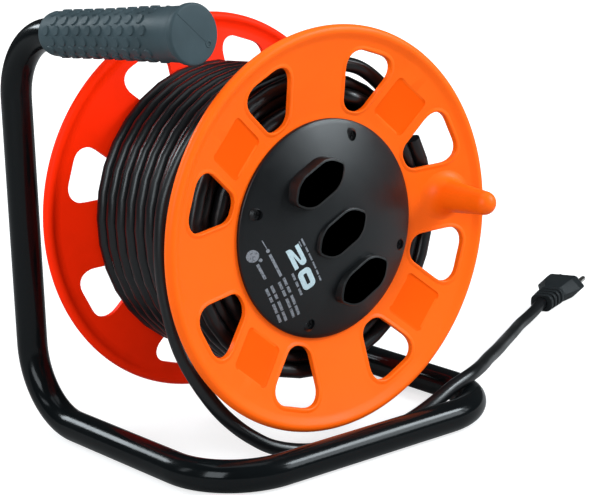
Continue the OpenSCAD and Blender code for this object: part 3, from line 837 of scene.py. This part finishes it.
@dataclass
class Plug:
    """The two-pin plug that lies flat on the floor at the end of the cord.

    Attributes:
        lead: The cord that it ends.
        boot_l: Length of the ribbed boot.
        boot_r: Half thickness of the boot.
        body_l: Length of the body.
        width: Width of the body.
        thick: Thickness of the body.
        pin_r: Radius of a pin.
        pin_l: Length of a pin.
        pitch: Spacing of the pins.
    """

    lead: CordLead
    boot_l: float = 26.0
    boot_r: float = 6.6
    body_l: float = 36.0
    width: float = 36.0
    thick: float = 16.0
    pin_r: float = 2.0
    pin_l: float = 19.0
    pitch: float = 19.0

    def matrix(self) -> Matrix:
        """The plug's place: x along the cord, z up, from the end of the cord on the floor.

        Returns:
            The matrix from plug metres to the row frame.
        """
        end = self.lead.points()[-1]
        way = self.lead.slope(len(self.lead.points()) - 1)
        return Matrix.Translation((end.x, end.y, 0)) @ Matrix.Rotation(math.atan2(way.y, way.x), 4, "Z")

    def build(self) -> list[Piece]:
        """Makes the boot, the body and the pins.

        Returns:
            The pieces.
        """
        return [self._boot(), self._body(), self._pins()]

    def _boot(self) -> Piece:
        """Makes the flat ribs round a slim core.

        Returns:
            The piece.
        """
        bm = bmesh.new()
        core = [(0.0, 0.0), (4.75, 0.0), (5.1, 1.0), (5.1, self.boot_l), (0.0, self.boot_l)]
        lathe(bm, core, 32)
        ribs, thick, corner, soft = 4, 4.5, 5.2, 0.9
        for k in range(ribs):
            box = rectangle(-self.boot_r, self.boot_r, self.boot_r + 2.0 + 0.5 * k)
            rib = block(box, [corner] * 4, (self.boot_l - thick) / (ribs - 1) * k, thick)
            rims = [e for e in rib.edges if abs(e.verts[0].co.z - e.verts[1].co.z) < SAME]
            bmesh.ops.bevel(rib, geom=rims, offset=soft * MM, offset_type="OFFSET", affect="EDGES",
                            segments=3, profile=0.5, material=-1)
            join(bm, rib)
        place(bm, self.matrix() @ shift(0, 0, self.boot_r) @ LYING)
        return settle(bm, "plug_boot_ribs", PLUG_RUBBER, Body.FRAME, ("plug_boot",))

    def _section(self, bm: Mesh, x: float, w: float, t: float, f: float, low: float) -> list[Edge]:
        """Makes one six-sided section of the body.

        Args:
            bm: The mesh to add to.
            x: Distance along the plug.
            w: Width of the section.
            t: Thickness of the section.
            f: How far its flats stand back from its width.
            low: Height of its underside.

        Returns:
            The section's edges.
        """
        side, flat = w / 2, w / 2 - f
        ring = ((-flat, 0), (flat, 0), (side, t / 2), (flat, t), (-flat, t), (-side, t / 2))
        verts = [bm.verts.new(Vector((x, y, low + z)) * MM) for y, z in ring]
        return [bm.edges.new((a, b)) for a, b in zip(verts, verts[1:] + verts[:1])]

    def _body(self) -> Piece:
        """Makes the faceted body, wide at the pins and slim at the boot.

        Returns:
            The piece.
        """
        bm = bmesh.new()
        a, b = self.boot_l, self.boot_l + self.body_l
        loops = [
            self._section(bm, a + 0.2, 19.5, 13.0, 3.4, 0.1),
            self._section(bm, a + 3.0, 21.5, 13.4, 4.2, 0.0),
            self._section(bm, a + 20.0, self.width, self.thick, 8.0, 0.0),
            self._section(bm, b - 6.5, self.width, self.thick, 8.0, 0.0),
            self._section(bm, b, self.width - 7, self.thick - 4.4, 5.0, 2.2),
        ]
        loft(bm, loops)
        for loop in (loops[0], loops[-1]):
            bmesh.ops.contextual_create(bm, geom=loop)
        bmesh.ops.recalc_face_normals(bm, faces=bm.faces)
        bmesh.ops.bevel(bm, geom=bm.edges[:], offset=0.75 * MM, offset_type="OFFSET", affect="EDGES",
                        segments=3, profile=0.5, material=-1, clamp_overlap=True)
        place(bm, self.matrix())
        return settle(bm, "plug_shell", PLUG_RUBBER, Body.FRAME, ("plug_body",), crease=24)

    def _pins(self) -> Piece:
        """Makes the two round pins with rounded tips.

        Returns:
            The piece.
        """
        bm = bmesh.new()
        tip = self.pin_l - self.pin_r
        profile = [(0.0, -2.0), (self.pin_r, -2.0), (self.pin_r, tip)]
        profile += arc((0.0, tip), self.pin_r, 0, 90, 6)[1:-1] + [(0.0, self.pin_l)]
        lathe(bm, profile, 32)
        geom = bm.verts[:] + bm.edges[:] + bm.faces[:]
        copy = bmesh.ops.duplicate(bm, geom=geom)["geom"]
        for part, side in ((geom, 1), (copy, -1)):
            bmesh.ops.translate(bm, verts=only(Vert, part), vec=(0, side * self.pitch / 2 * MM, 0))
        place(bm, self.matrix() @ shift(self.boot_l + self.body_l, 0, self.thick / 2) @ LYING)
        return settle(bm, "plug_round_pins", NICKEL, Body.FRAME, ("plug_pins",))


# ---------------------------------------------------------------- stand


@dataclass
class BentTube:
    """The stand: one tube bent from the grip round the floor and into the axle.

    Attributes:
        corners: Sharp corners of the centreline, in millimetres in the row frame.
        bends: Radius of each bend.
        radius: Radius of the tube.
        sides: Sides of its section.
        start_gap: How far inside the grip it starts.
    """

    corners: tuple[Point, ...] = (
        (-97, -70, 257.5), (-112, 98, 248), (-112, 98, 9.5), (-106, -92, 9.5), (112.5, -92, 9.5),
        (112.5, 98, 9.5), (-2, 98, 134.5), (-2, -30, 134.5),
    )
    bends: tuple[float, ...] = (42, 45, 45, 45, 45, 34)
    radius: float = 9.5
    sides: int = 48
    start_gap: float = 6.0

    def build(self) -> Piece:
        """Extrudes the straight runs and spins the bends.

        Returns:
            The piece.
        """
        path = [Vector(p) * MM for p in self.corners]
        ways = [(b - a).normalized() for a, b in zip(path, path[1:])]
        bm = bmesh.new()
        at = path[0] + ways[0] * self.start_gap * MM
        facing = Matrix.Translation(at) @ ways[0].to_track_quat("Z", "Y").to_matrix().to_4x4()
        bmesh.ops.create_circle(bm, segments=self.sides, radius=self.radius * MM, cap_ends=False,
                                matrix=facing)
        first = edges = bm.edges[:]
        for k, (way, corner) in enumerate(zip(ways, path[1:])):
            last = k == len(ways) - 1
            after = way if last else ways[k + 1]
            turn = way.angle(after, 0.0)
            bend = 0.0 if last else self.bends[k] * MM
            reach = bend * math.tan(turn / 2)
            end = corner - way * reach
            out = bmesh.ops.extrude_edge_only(bm, edges=edges)["geom"]
            verts = only(Vert, out)
            fresh = set(verts)
            edges = [e for e in only(Edge, out) if set(e.verts) <= fresh]
            bmesh.ops.translate(bm, verts=verts, vec=end - at)
            if last:
                break
            inward = (after - way * after.dot(way)).normalized()
            out = bmesh.ops.spin(bm, geom=verts + edges, cent=end + inward * bend, angle=turn,
                                 axis=way.cross(after).normalized(),
                                 steps=max(8, round(math.degrees(turn) / 3.5)))["geom_last"]
            edges = only(Edge, out)
            at = corner + after * reach
        for loop in (first, edges):
            bmesh.ops.contextual_create(bm, geom=loop)
        return settle(bm, "bent_tube", ENAMEL, Body.FRAME, ("frame_tube",))


@dataclass
class Grip:
    """The rubber grip with its end flange and rows of round pads.

    Attributes:
        front: Middle of its front face, in millimetres in the row frame.
        toward: The path corner that its axis runs to.
        length: Its length.
        front_r: Radius behind the end flange.
        mid: Radius and distance from the front where the taper flattens out.
        rear_r: Radius at the rear shoulder.
        flange_r: Radius of the end flange.
        flange_t: Thickness of the end flange.
        rows: Rows of pads round it.
        pad_r: Radius of a pad.
        pad_pitch: Spacing of the pads along a row.
        pad_start: Distance of the first pad from the front.
        pads: Most pads in a row.
    """

    front: Point = (-97, -70, 257.5)
    toward: Point = (-112, 98, 248)
    length: float = 128.0
    front_r: float = 15.5
    mid: Pair = (13.6, 70.0)
    rear_r: float = 13.1
    flange_r: float = 16.8
    flange_t: float = 4.6
    rows: int = 14
    pad_r: float = 3.7
    pad_pitch: float = 10.0
    pad_start: float = 26.0
    pads: int = 11

    def matrix(self) -> Matrix:
        """The grip's place, with z from its front face to the rear.

        Returns:
            The matrix from grip metres to the row frame.
        """
        way = (Vector(self.toward) - Vector(self.front)).normalized()
        side = Vector((0, 0, 1)).cross(way).normalized()
        up = way.cross(side)
        turn = Matrix((side, up, way)).transposed().to_4x4()
        return shift(*self.front) @ turn

    def radius_at(self, z: float) -> float:
        """Radius of the tapered body at a distance from the front face.

        Args:
            z: The distance in millimetres.

        Returns:
            The radius in millimetres.
        """
        mid_r, mid_at = self.mid
        if z < mid_at:
            return self.front_r + (mid_r - self.front_r) * (z - self.flange_t) / (mid_at - self.flange_t)
        return mid_r + (self.rear_r - mid_r) * (z - mid_at) / (self.length - mid_at)

    def build(self) -> Piece:
        """Makes the body, the pads and the marks of the end face.

        Returns:
            The piece.
        """
        bm = bmesh.new()
        edge, shoulder = 1.4, 6.5
        profile = [(0.0, 0.0), (self.flange_r * 0.6, 0.0)]
        profile += arc((self.flange_r - edge, edge), edge, -90, 0, 5)
        profile += arc((self.flange_r - edge, self.flange_t - edge), edge, 0, 80, 5)
        profile += [(self.front_r + 0.25, self.flange_t + 0.1), (self.front_r, self.flange_t + 0.6)]
        profile += [(self.radius_at(z), z) for z in (12, 40, 62, 70, 78, 100, self.length - shoulder)]
        profile += arc((self.rear_r - shoulder, self.length - shoulder), shoulder, 0, 62, 8)[1:]
        profile += [(9.55, self.length), (9.55, self.length - 12), (0.0, self.length - 12)]
        lathe(bm, profile, 96)
        for row in range(self.rows):
            for k in range(self.pads):
                z = self.pad_start + self.pad_pitch * (k + 0.5 * (row % 2))
                if z < self.length - shoulder - self.pad_r:
                    self._pad(bm, z, math.tau * (row + 0.5) / self.rows)
        self._gate(bm)
        place(bm, self.matrix())
        return settle(bm, "hand_grip_padded", GRIP_RUBBER, Body.FRAME, ("handle_grip",),
                      crease=40)

    def _pad(self, bm: Mesh, z: float, angle: float) -> None:
        """Adds one round pad, wrapped on the body.

        Args:
            bm: The mesh to add to.
            z: Distance of its middle from the front face.
            angle: Its angle round the grip.
        """
        before = set(bm.verts)
        made = bmesh.ops.create_circle(bm, segments=14, radius=self.pad_r * MM, cap_ends=True)["verts"]
        face = made[0].link_faces[0]
        sunk = height = -0.5
        heights: dict[Vert, float] = {}
        for inset, rise in ((0.0, 1.0), (0.35, 0.25), (0.8, 0.15)):
            if inset:
                bmesh.ops.inset_region(bm, faces=[face], thickness=inset * MM, use_even_offset=True)
            else:
                face = only(Face, bmesh.ops.extrude_face_region(bm, geom=[face])["geom"])[0]
            height += rise
            heights.update({v: height for v in face.verts})
        radius = self.radius_at(z) * MM
        for v in [v for v in bm.verts if v not in before]:
            r, turn = radius + heights.get(v, sunk) * MM, angle + v.co.y / radius
            v.co = (r * math.cos(turn), r * math.sin(turn), z * MM + v.co.x)

    def _gate(self, bm: Mesh) -> None:
        """Adds the moulding gate and the fine seam on the end face.

        Args:
            bm: The mesh to add to.
        """
        dot = bmesh.new()
        profile = [(0.0, 0.3), (1.0, 0.3), (1.2, -0.35), (1.9, -0.35), (2.2, 0.0), (2.2, 0.4), (0.0, 0.4)]
        lathe(dot, profile, 24)
        join(bm, dot, shift(-9.3, -6.0, 0.0))
        seam = bmesh.new()
        bmesh.ops.create_cube(seam, size=1.0, matrix=Matrix.Diagonal((26 * MM, 0.35 * MM, 0.3 * MM, 1)))
        join(bm, seam, shift(1.0, 3.0, 0.0) @ polar(42))


# ---------------------------------------------------------------- drum


@dataclass
class Flange:
    """One dished flange with eight windows, raised lips, bare panels and its rolled rim.

    Attributes:
        drum: The drum's place.
        rear: Whether it is the rear flange.
        hole: Radius of its middle opening.
        window_in: Radius of a window's inner edge.
        window_out: Radius of a window's outer edge.
        spoke: Width of a spoke.
        corner_in: Corner radius at the inner edge.
        corner_out: Corner radius at the outer edge.
        bead: Radius, middle radius and height of the rim bead.
        count: How many windows it has.
        panels: How many shallow panels it has.
        panel_at: Radius of the middle of a panel.
        panel: Half the length and half the width of a panel.
        panel_depth: Depth of a panel.
        peg_at: Radius at which the peg stands.
        peg_reach: Height of the peg's end.
        peg_tip: Radius of the peg at its end.
        peg_root: Radius of the peg at its foot.
    """

    drum: Drum
    rear: bool
    hole: float
    window_in: float = 70.5
    window_out: float = 106.0
    spoke: float = 41.0
    corner_in: float = 8.4
    corner_out: float = 10.0
    bead: tuple[float, float, float] = (3.5, 116.5, 63.5)
    count: int = 8
    panels: int = 4
    panel_at: float = 87.0
    panel: Pair = (13.0, 13.5)
    panel_depth: float = 0.4
    peg_at: float = 92.0
    peg_reach: float = 101.5
    peg_tip: float = 7.3
    peg_root: float = 9.6

    def corners(self, grow: float) -> tuple[list[Pair], list[float]]:
        """Sharp corners of a window, on the x axis.

        Args:
            grow: How much larger it is on every side.

        Returns:
            The corners and their radii.
        """
        half = math.pi / self.count
        apex = (self.spoke / 2 - grow) / math.sin(half)
        low, high = self.window_in - grow, self.window_out + grow
        a, b = (low - apex) * math.tan(half), (high - apex) * math.tan(half)
        inner, outer = self.corner_in + grow, self.corner_out + grow
        return [(low, -a), (high, -b), (high, b), (low, a)], [inner, outer, outer, inner]

    def profile(self) -> list[Pair]:
        """The flange's section: back, bead, face and crease.

        Returns:
            Radius and height of each point, the first one again at the end.
        """
        r, at, z = self.bead
        crease, wall = self.drum.crease_r, self.drum.wall
        back = [(self.hole, wall), (crease - 1, wall), (crease + 1, wall), (90.0, wall), (109.5, wall)]
        back = [(x, self.drum.dish(x) - down) for x, down in (*back, (111.8, wall + 0.2))]
        face = [(113.2, 0.75), (112.0, 0.25), (110.3, 0.0), (90.0, 0.0), (72.0, 0.0), (crease + 1, 0.02)]
        face = [(x, self.drum.dish(x) + up) for x, up in (*face, (crease - 1, 0.0), (self.hole, 0.0))]
        return back + arc((at, z), r, 234, 486, 24) + face + [back[0]]

    def build(self) -> Piece:
        """Spins the shell, cuts its windows and adds the lips and the peg.

        Returns:
            The piece.
        """
        shell = bmesh.new()
        lathe(shell, self.profile(), 192)
        shell = carve(shell, self._cutters())
        self._mark_panels(shell)
        join(shell, self._lips())
        if not self.rear:
            join(shell, self._peg(), polar(-180 / self.count, self.peg_at))
        place(shell, self.drum.matrix(self.rear))
        # The rear flange's shell and its panel floors take the orange with painted shade; the front panel
        # floors take the pitted orange with painted shade.
        end, finish, shaded_floors = ("rear", SHADED_ORANGE, SHADED_ORANGE) if self.rear else ("front", ORANGE, PANEL_GRAIN_AND_SHADE)
        piece = settle(shell, f"{end}_flange_shell", finish, Body.DRUM,
                       (f"{end}_flange",), crease=28)
        piece.data.materials.append(shaded_floors.material())
        return piece

    def _panel_turns(self) -> list[Matrix]:
        """The turn to each panel."""
        return [polar(180 / self.count + 360 / self.panels * k) for k in range(self.panels)]

    def _mark_panels(self, shell: Mesh) -> None:
        """Gives the floors of the shallow panels the second finish: a pitted, rougher texture whose darker,
        redder colour is also painted shade in the recess.

        Args:
            shell: The flange after its cuts, on the z axis.
        """
        turns = [turn.inverted() for turn in self._panel_turns()]
        for face in shell.faces:
            centre = face.calc_center_median() / MM
            depth = self.drum.dish(centre.xy.length) - centre.z
            if face.normal.z > 0.7 and depth > 0.7 * self.panel_depth:
                spots = [turn @ centre for turn in turns]
                if any(abs(p.x - self.panel_at) < self.panel[0] and abs(p.y) < self.panel[1] for p in spots):
                    face.material_index = 1

    def _cutters(self) -> Mesh:
        """Makes the solids that cut the windows and the shallow panels.

        Returns:
            The cutters.
        """
        tool = bmesh.new()
        corners, radii = self.corners(0.0)
        for k in range(self.count):
            join(tool, block(corners, radii, 40.0, 40.0), polar(360 / self.count * k))
        a, b = self.panel
        sides = ((-0.7, 0.0), (-0.6, 0.02), (0.5, 0.4), (0.6, 8.0))
        sections = [(rectangle(-a - grow, a + grow, b + grow), [3.0] * 4, z) for grow, z in sides]
        tilt = Matrix.Rotation(-math.atan(self.drum.slope()), 4, "Y")
        lift = shift(self.panel_at, 0, self.drum.dish(self.panel_at) - self.panel_depth)
        for turn in self._panel_turns():
            one = bmesh.new()
            skin(one, sections, 5, capped=True)
            join(tool, one, turn @ lift @ tilt)
        return tool

    def _lips(self) -> Mesh:
        """Makes the rounded lip round each window.

        Returns:
            The lips.
        """
        lips = bmesh.new()
        section = ((-0.02, -0.8), (-0.02, 0.15), (0.2, 0.42), (0.6, 0.58), (1.1, 0.52), (1.7, 0.26),
                   (2.5, 0.02), (2.8, -0.8))
        apart = 100
        for k in range(self.count):
            one = bmesh.new()
            skin(one, [(*self.corners(grow), height * apart) for grow, height in section], closed=True)
            for v in one.verts:
                v.co.z = v.co.z / apart + self.drum.dish(v.co.xy.length / MM) * MM
            join(lips, one, polar(360 / self.count * k))
        return lips

    def _peg(self) -> Mesh:
        """Makes the winding peg on its own axis, with a foot that flares into the spoke.

        Returns:
            The peg.
        """
        peg = bmesh.new()
        neck = self.peg_reach - self.peg_tip
        foot = self.drum.dish(self.peg_at)
        flare = 8.0
        wide = self.peg_root + flare
        profile = [(0.0, foot - 1.2), (wide - 0.3, foot - 1.2), (wide, foot - 0.05)]
        profile += arc((wide, foot + flare), flare, -90, -180, 10)[1:]
        profile += [(self.peg_tip + 0.15, neck - 2)] + arc((0.0, neck), self.peg_tip, 0, 90, 10)[:-1]
        profile += [(0.0, self.peg_reach)]
        lathe(peg, profile, 64)
        for v in peg.verts:
            fade = min(1.0, max(0.0, (foot + flare) * MM - v.co.z) / (flare * MM))
            v.co.z += v.co.x * self.drum.slope() * fade
        return peg


@dataclass
class Cover:
    """The domed cover with three long six-sided sockets and its plain print.

    Attributes:
        drum: The drum's place.
        radius: Radius of the cover.
        edge: Height of the dome's edge.
        top: Height of the dome's middle.
        wall: Its wall.
        collar_top: Height of the collars.
        floor: Height of the socket floors.
        pitch: Spacing of the sockets.
        well: Length and width of a socket.
        screw_at: Radius at which the screws stand.
        screws: Angle of each screw.
    """

    drum: Drum
    radius: float = 65.2
    edge: float = 56.4
    top: float = 69.5
    wall: float = 2.5
    collar_top: float = 71.2
    floor: float = 58.0
    pitch: float = 35.2
    well: Pair = (38.5, 18.0)
    screw_at: float = 56.5
    screws: tuple[float, ...] = (45.0, 135.0, 225.0, 315.0)

    def dome_r(self) -> float:
        """Radius of the dome's sphere."""
        rise = self.top - self.edge
        return (self.radius**2 + rise**2) / (2 * rise)

    def dome_z(self, x: float, y: float) -> float:
        """Height of the dome above a point of the drum, in millimetres."""
        r = self.dome_r()
        return self.top - r + math.sqrt(r * r - x * x - y * y)

    def hexagon(self, grow: float) -> list[Pair]:
        """Corners of a socket's outline, grown on every side.

        Args:
            grow: How much larger it is, in millimetres.

        Returns:
            The six corners in order, from one tip.
        """
        l, w = self.well[0] / 2 + grow * 1.15, self.well[1] / 2 + grow
        f = self.well[0] / 2 - 7.5 + grow * 0.4
        return [(-l, 0), (-f, -w), (f, -w), (l, 0), (f, w), (-f, w)]

    def rounding(self, grow: float) -> list[float]:
        """Corner radii of a socket's outline: tight at the two tips, wide at the other four."""
        return [(3.4 if k % 3 == 0 else 12.0) + grow * 0.6 for k in range(6)]

    def build(self) -> list[Piece]:
        """Makes the cover and its print.

        Returns:
            The pieces.
        """
        bm = bmesh.new()
        r = self.dome_r()
        middle = (0.0, self.top - r)
        rim = math.degrees(math.acos((self.radius - 0.5) / r))
        inner = math.degrees(math.acos((self.radius - self.wall) / (r - self.wall)))
        profile = [(0.0, self.top - self.wall)]
        profile += arc(middle, r - self.wall, 90, inner, 14)[1:]
        profile += [(self.radius - self.wall, self.drum.hub_front), (self.radius, self.drum.hub_front)]
        profile += [(self.radius, self.edge - 0.5), (self.radius - 0.15, self.edge - 0.1)]
        profile += arc(middle, r, rim, 90, 24)[:-1] + [(0.0, self.top)]
        lathe(bm, profile, 144)
        bm = carve(bm, self._cutters())
        for angle in self.screws:
            join(bm, self._screw_seat(), polar(angle, self.screw_at))
        place(bm, self.drum.matrix())
        wells = bmesh.new()
        for k in (-1, 0, 1):
            join(wells, self._socket(), shift(0, k * self.pitch, 0))
        place(wells, self.drum.matrix())
        # The wells take the darker black as painted shade.
        sockets = settle(wells, "socket_wells", SHADED_SOCKET, Body.DRUM, crease=30)
        cover = settle(bm, "cover_dome", COVER, Body.DRUM, ("socket_cover",), crease=30)
        return [cover, sockets, *self._print()]

    def _cutters(self) -> Mesh:
        """Makes the solids that open the dome for the sockets and screws.

        Returns:
            The cutters.
        """
        cuts = [(self.hexagon(0.8), self.rounding(0.8), 6, shift(0, k * self.pitch, 0)) for k in (-1, 0, 1)]
        hole = rectangle(-3.1, 3.1, 3.1)
        cuts += [(hole, [3.05] * 4, 8, polar(angle, self.screw_at)) for angle in self.screws]
        tool = bmesh.new()
        for corners, radii, segments, at in cuts:
            join(tool, block(corners, radii, 50.0, 30.0, segments), at)
        return tool

    def _socket(self) -> Mesh:
        """Makes one socket on the drum's axis: collar, well and floor with its three holes.

        Returns:
            The socket.
        """
        one = bmesh.new()
        top, thick = self.collar_top, 2.0
        wall = ((2.0, 56.0), (2.0, top - 0.7), (1.75, top - 0.2), (1.3, top), (0.55, top),
                (0.15, top - 0.25), (0.0, top - 0.8), (0.0, self.floor))
        skin(one, [(self.hexagon(grow), self.rounding(grow), z) for grow, z in wall])
        plate = block(self.hexagon(0.4), self.rounding(0.4), self.floor - thick, thick)
        holes = bmesh.new()
        pin, bore = 9.5, 2.5
        for x, y in ((-pin, 0.0), (pin, 0.0), (0.0, 3.0)):
            bmesh.ops.create_cone(holes, cap_ends=True, segments=32, radius1=bore * MM, radius2=bore * MM,
                                  depth=8 * MM, matrix=shift(x, y, self.floor - thick / 2))
        join(one, carve(plate, holes))
        return one

    def _screw_seat(self) -> Mesh:
        """Makes the sunk seat of one cover screw on the drum's axis, at the height of its place.

        Returns:
            The seat.
        """
        seat = bmesh.new()
        top = self.dome_z(self.screw_at, 0.0) + 0.35
        lathe(seat, [(3.1, top), (3.1, 57.0), (1.8, 57.0), (1.8, 54.6), (4.6, 54.6), (4.6, top - 1.6),
                     (3.1, top)], 32)
        return seat

    def _bar(self, bm: Mesh, x: float, y: float, w: float, h: float) -> None:
        """Adds one printed bar, x and y at its middle, w along the reading line.

        Args:
            bm: The mesh to add to.
            x: Distance across the reading line.
            y: Distance along it.
            w: Its length.
            h: Its height.
        """
        cells = (max(1, round(h / 3)), max(1, round(w / 3)))
        made = bmesh.ops.create_grid(bm, x_segments=cells[0], y_segments=cells[1], size=0.5)["verts"]
        bmesh.ops.scale(bm, verts=made, vec=(h * MM, w * MM, 1.0))
        bmesh.ops.translate(bm, verts=made, vec=(x * MM, y * MM, 0))

    def _print(self) -> list[Piece]:
        """Makes the plain print: a size in metres and bars for lines of small type.

        Returns:
            The pieces.
        """
        digits = bmesh.new()
        self._digits(digits)
        bars = bmesh.new()
        words = ((-24.9, 1.1, (13.5, 8.6, 7.6, 4.0, 3.0, -2.0, -3.0, -8.0, -9.0, -12.4, -13.4, -17.0)),
                 (-27.0, 0.7, (13.0, 9.4)),
                 (-39.0, 1.5, (-1.6, -6.4, -7.6, -11.4, -12.6, -17.6)),
                 (-44.6, 1.7, (-0.9, -6.3, -7.3, -11.7, -13.7, -20.6, -21.5, -28.5)),
                 (-47.9, 1.7, (-1.6, -6.9, -7.8, -12.0, -13.9, -20.8, -21.7, -28.2)),
                 (-52.7, 1.7, (-1.0, -6.2, -7.2, -10.6, -12.5, -19.5, -20.4, -27.4)),
                 (-56.0, 1.7, (-1.1, -6.2, -7.3, -10.9, -12.4, -19.2, -20.4, -26.2)),
                 (-45.3, 0.6, (26.1, 20.0)), (-45.4, 1.7, (16.5, 0.9)), (-54.0, 1.7, (15.2, 4.7)))
        for x, tall, ends in words:
            for start, end in zip(ends[::2], ends[1::2]):
                self._bar(bars, x, (start + end) / 2, start - end, tall)
        for x, y, r in ((-45.3, 18.9, 1.15), (-54.1, 20.9, 3.7), (-51.4, 16.4, 1.1)):
            disc = bmesh.ops.create_circle(bars, segments=28, radius=r * MM, cap_ends=True)["verts"]
            bmesh.ops.translate(bars, verts=disc, vec=(x * MM, y * MM, 0))
        return [self._lay(digits, "cover_print", INK), self._lay(bars, "cover_fine_print", FINE_INK)]

    def _lay(self, bm: Mesh, name: str, ink: Finish) -> Piece:
        """Lays flat print on the dome, in facets small enough to follow it.

        Args:
            bm: The print, flat.
            name: Name of the piece.
            ink: Its finish.

        Returns:
            The piece.
        """
        longest, proud = 3.2, 0.08
        for _ in range(3):
            long = [e for e in bm.edges if e.calc_length() > longest * MM]
            bmesh.ops.subdivide_edges(bm, edges=long, cuts=1)
            bmesh.ops.triangulate(bm, faces=bm.faces)
        for v in bm.verts:
            v.co.z = (self.dome_z(v.co.x / MM, v.co.y / MM) + proud) * MM
        place(bm, self.drum.matrix())
        return settle(bm, name, ink, Body.DRUM)

    def _digits(self, bm: Mesh) -> None:
        """Adds the digits 2 and 0, which read along the drum's own minus y.

        Args:
            bm: The mesh to add to.
        """
        low, high = -36.7, -28.0
        two = ((0, 0), (13.6, 0), (13.6, 2.7), (5.4, 2.7), (12.3, 4.4), (13.4, 5.5), (13.6, 6.6),
               (13.3, 7.9), (12.4, 8.6), (11.2, 8.8), (0.3, 8.8), (0.3, 6.2), (9.6, 6.2), (10.0, 5.9),
               (9.8, 5.5), (1.6, 3.6), (0.4, 2.8), (0, 1.8))
        bm.faces.new([bm.verts.new(Vector((low + up, 12.5 - on, 0.0)) * MM) for on, up in two])
        sections = []
        for inset, r in ((0.0, 3.0), (3.2, 0.5)):
            a, b, left, right = low + inset, high - inset, -3.3 - inset, -16.9 + inset
            sections.append(([(a, left), (a, right), (b, right), (b, left)], [r] * 4, 0.0))
        skin(bm, sections, 6)


@dataclass
class Fittings:
    """The solids that keep their own shape and get a finish.

    Attributes:
        finishes: Each finish with its solids.
    """

    finishes: tuple[tuple[Finish, tuple[str, ...]], ...] = (
        (ENAMEL, ("axle_stop_ring",)),
        (ORANGE, ("drum_barrel",)),
        (SHEATH, ("cord_grommet",)),
        (DARK_STEEL, ("cover_screws",)),
        (INSULATOR, ("contact_carrier", "cord_clamp")),
        (BRASS, ("live_contacts", "neutral_contacts", "earth_contacts", "terminal_screws")),
        (ZINC, ("rear_washer", "front_washer", "split_pin", "carrier_screws", "front_flange_screws",
                "rear_flange_screws", "clamp_screws")),
    )

    def dress(self, nodes: dict[str, Piece]) -> None:
        """Gives each solid its finish.

        Args:
            nodes: The solids by name.
        """
        for finish, names in self.finishes:
            for name in names:
                mesh = nodes[name].data
                mesh.materials.clear()
                mesh.materials.append(finish.material())
                LOG.info("%s keeps its shape in %s", name, finish.name)


def main() -> None:
    """Builds the reel's pieces in order."""
    logging.basicConfig(level=logging.INFO, format="%(message)s")
    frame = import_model()
    drum = Drum()
    Studio().build()
    lead = CordLead(drum)
    cord = lead.build()
    Plug(lead).build()
    WoundCord(drum).build()
    BentTube().build()
    Grip().build()
    Flange(drum, rear=False, hole=46.0).build()
    Flange(drum, rear=True, hole=13.0).build()
    Cover(drum).build()
    Fittings().dress(frame["nodes"])


if __name__ == "__main__":
    main()
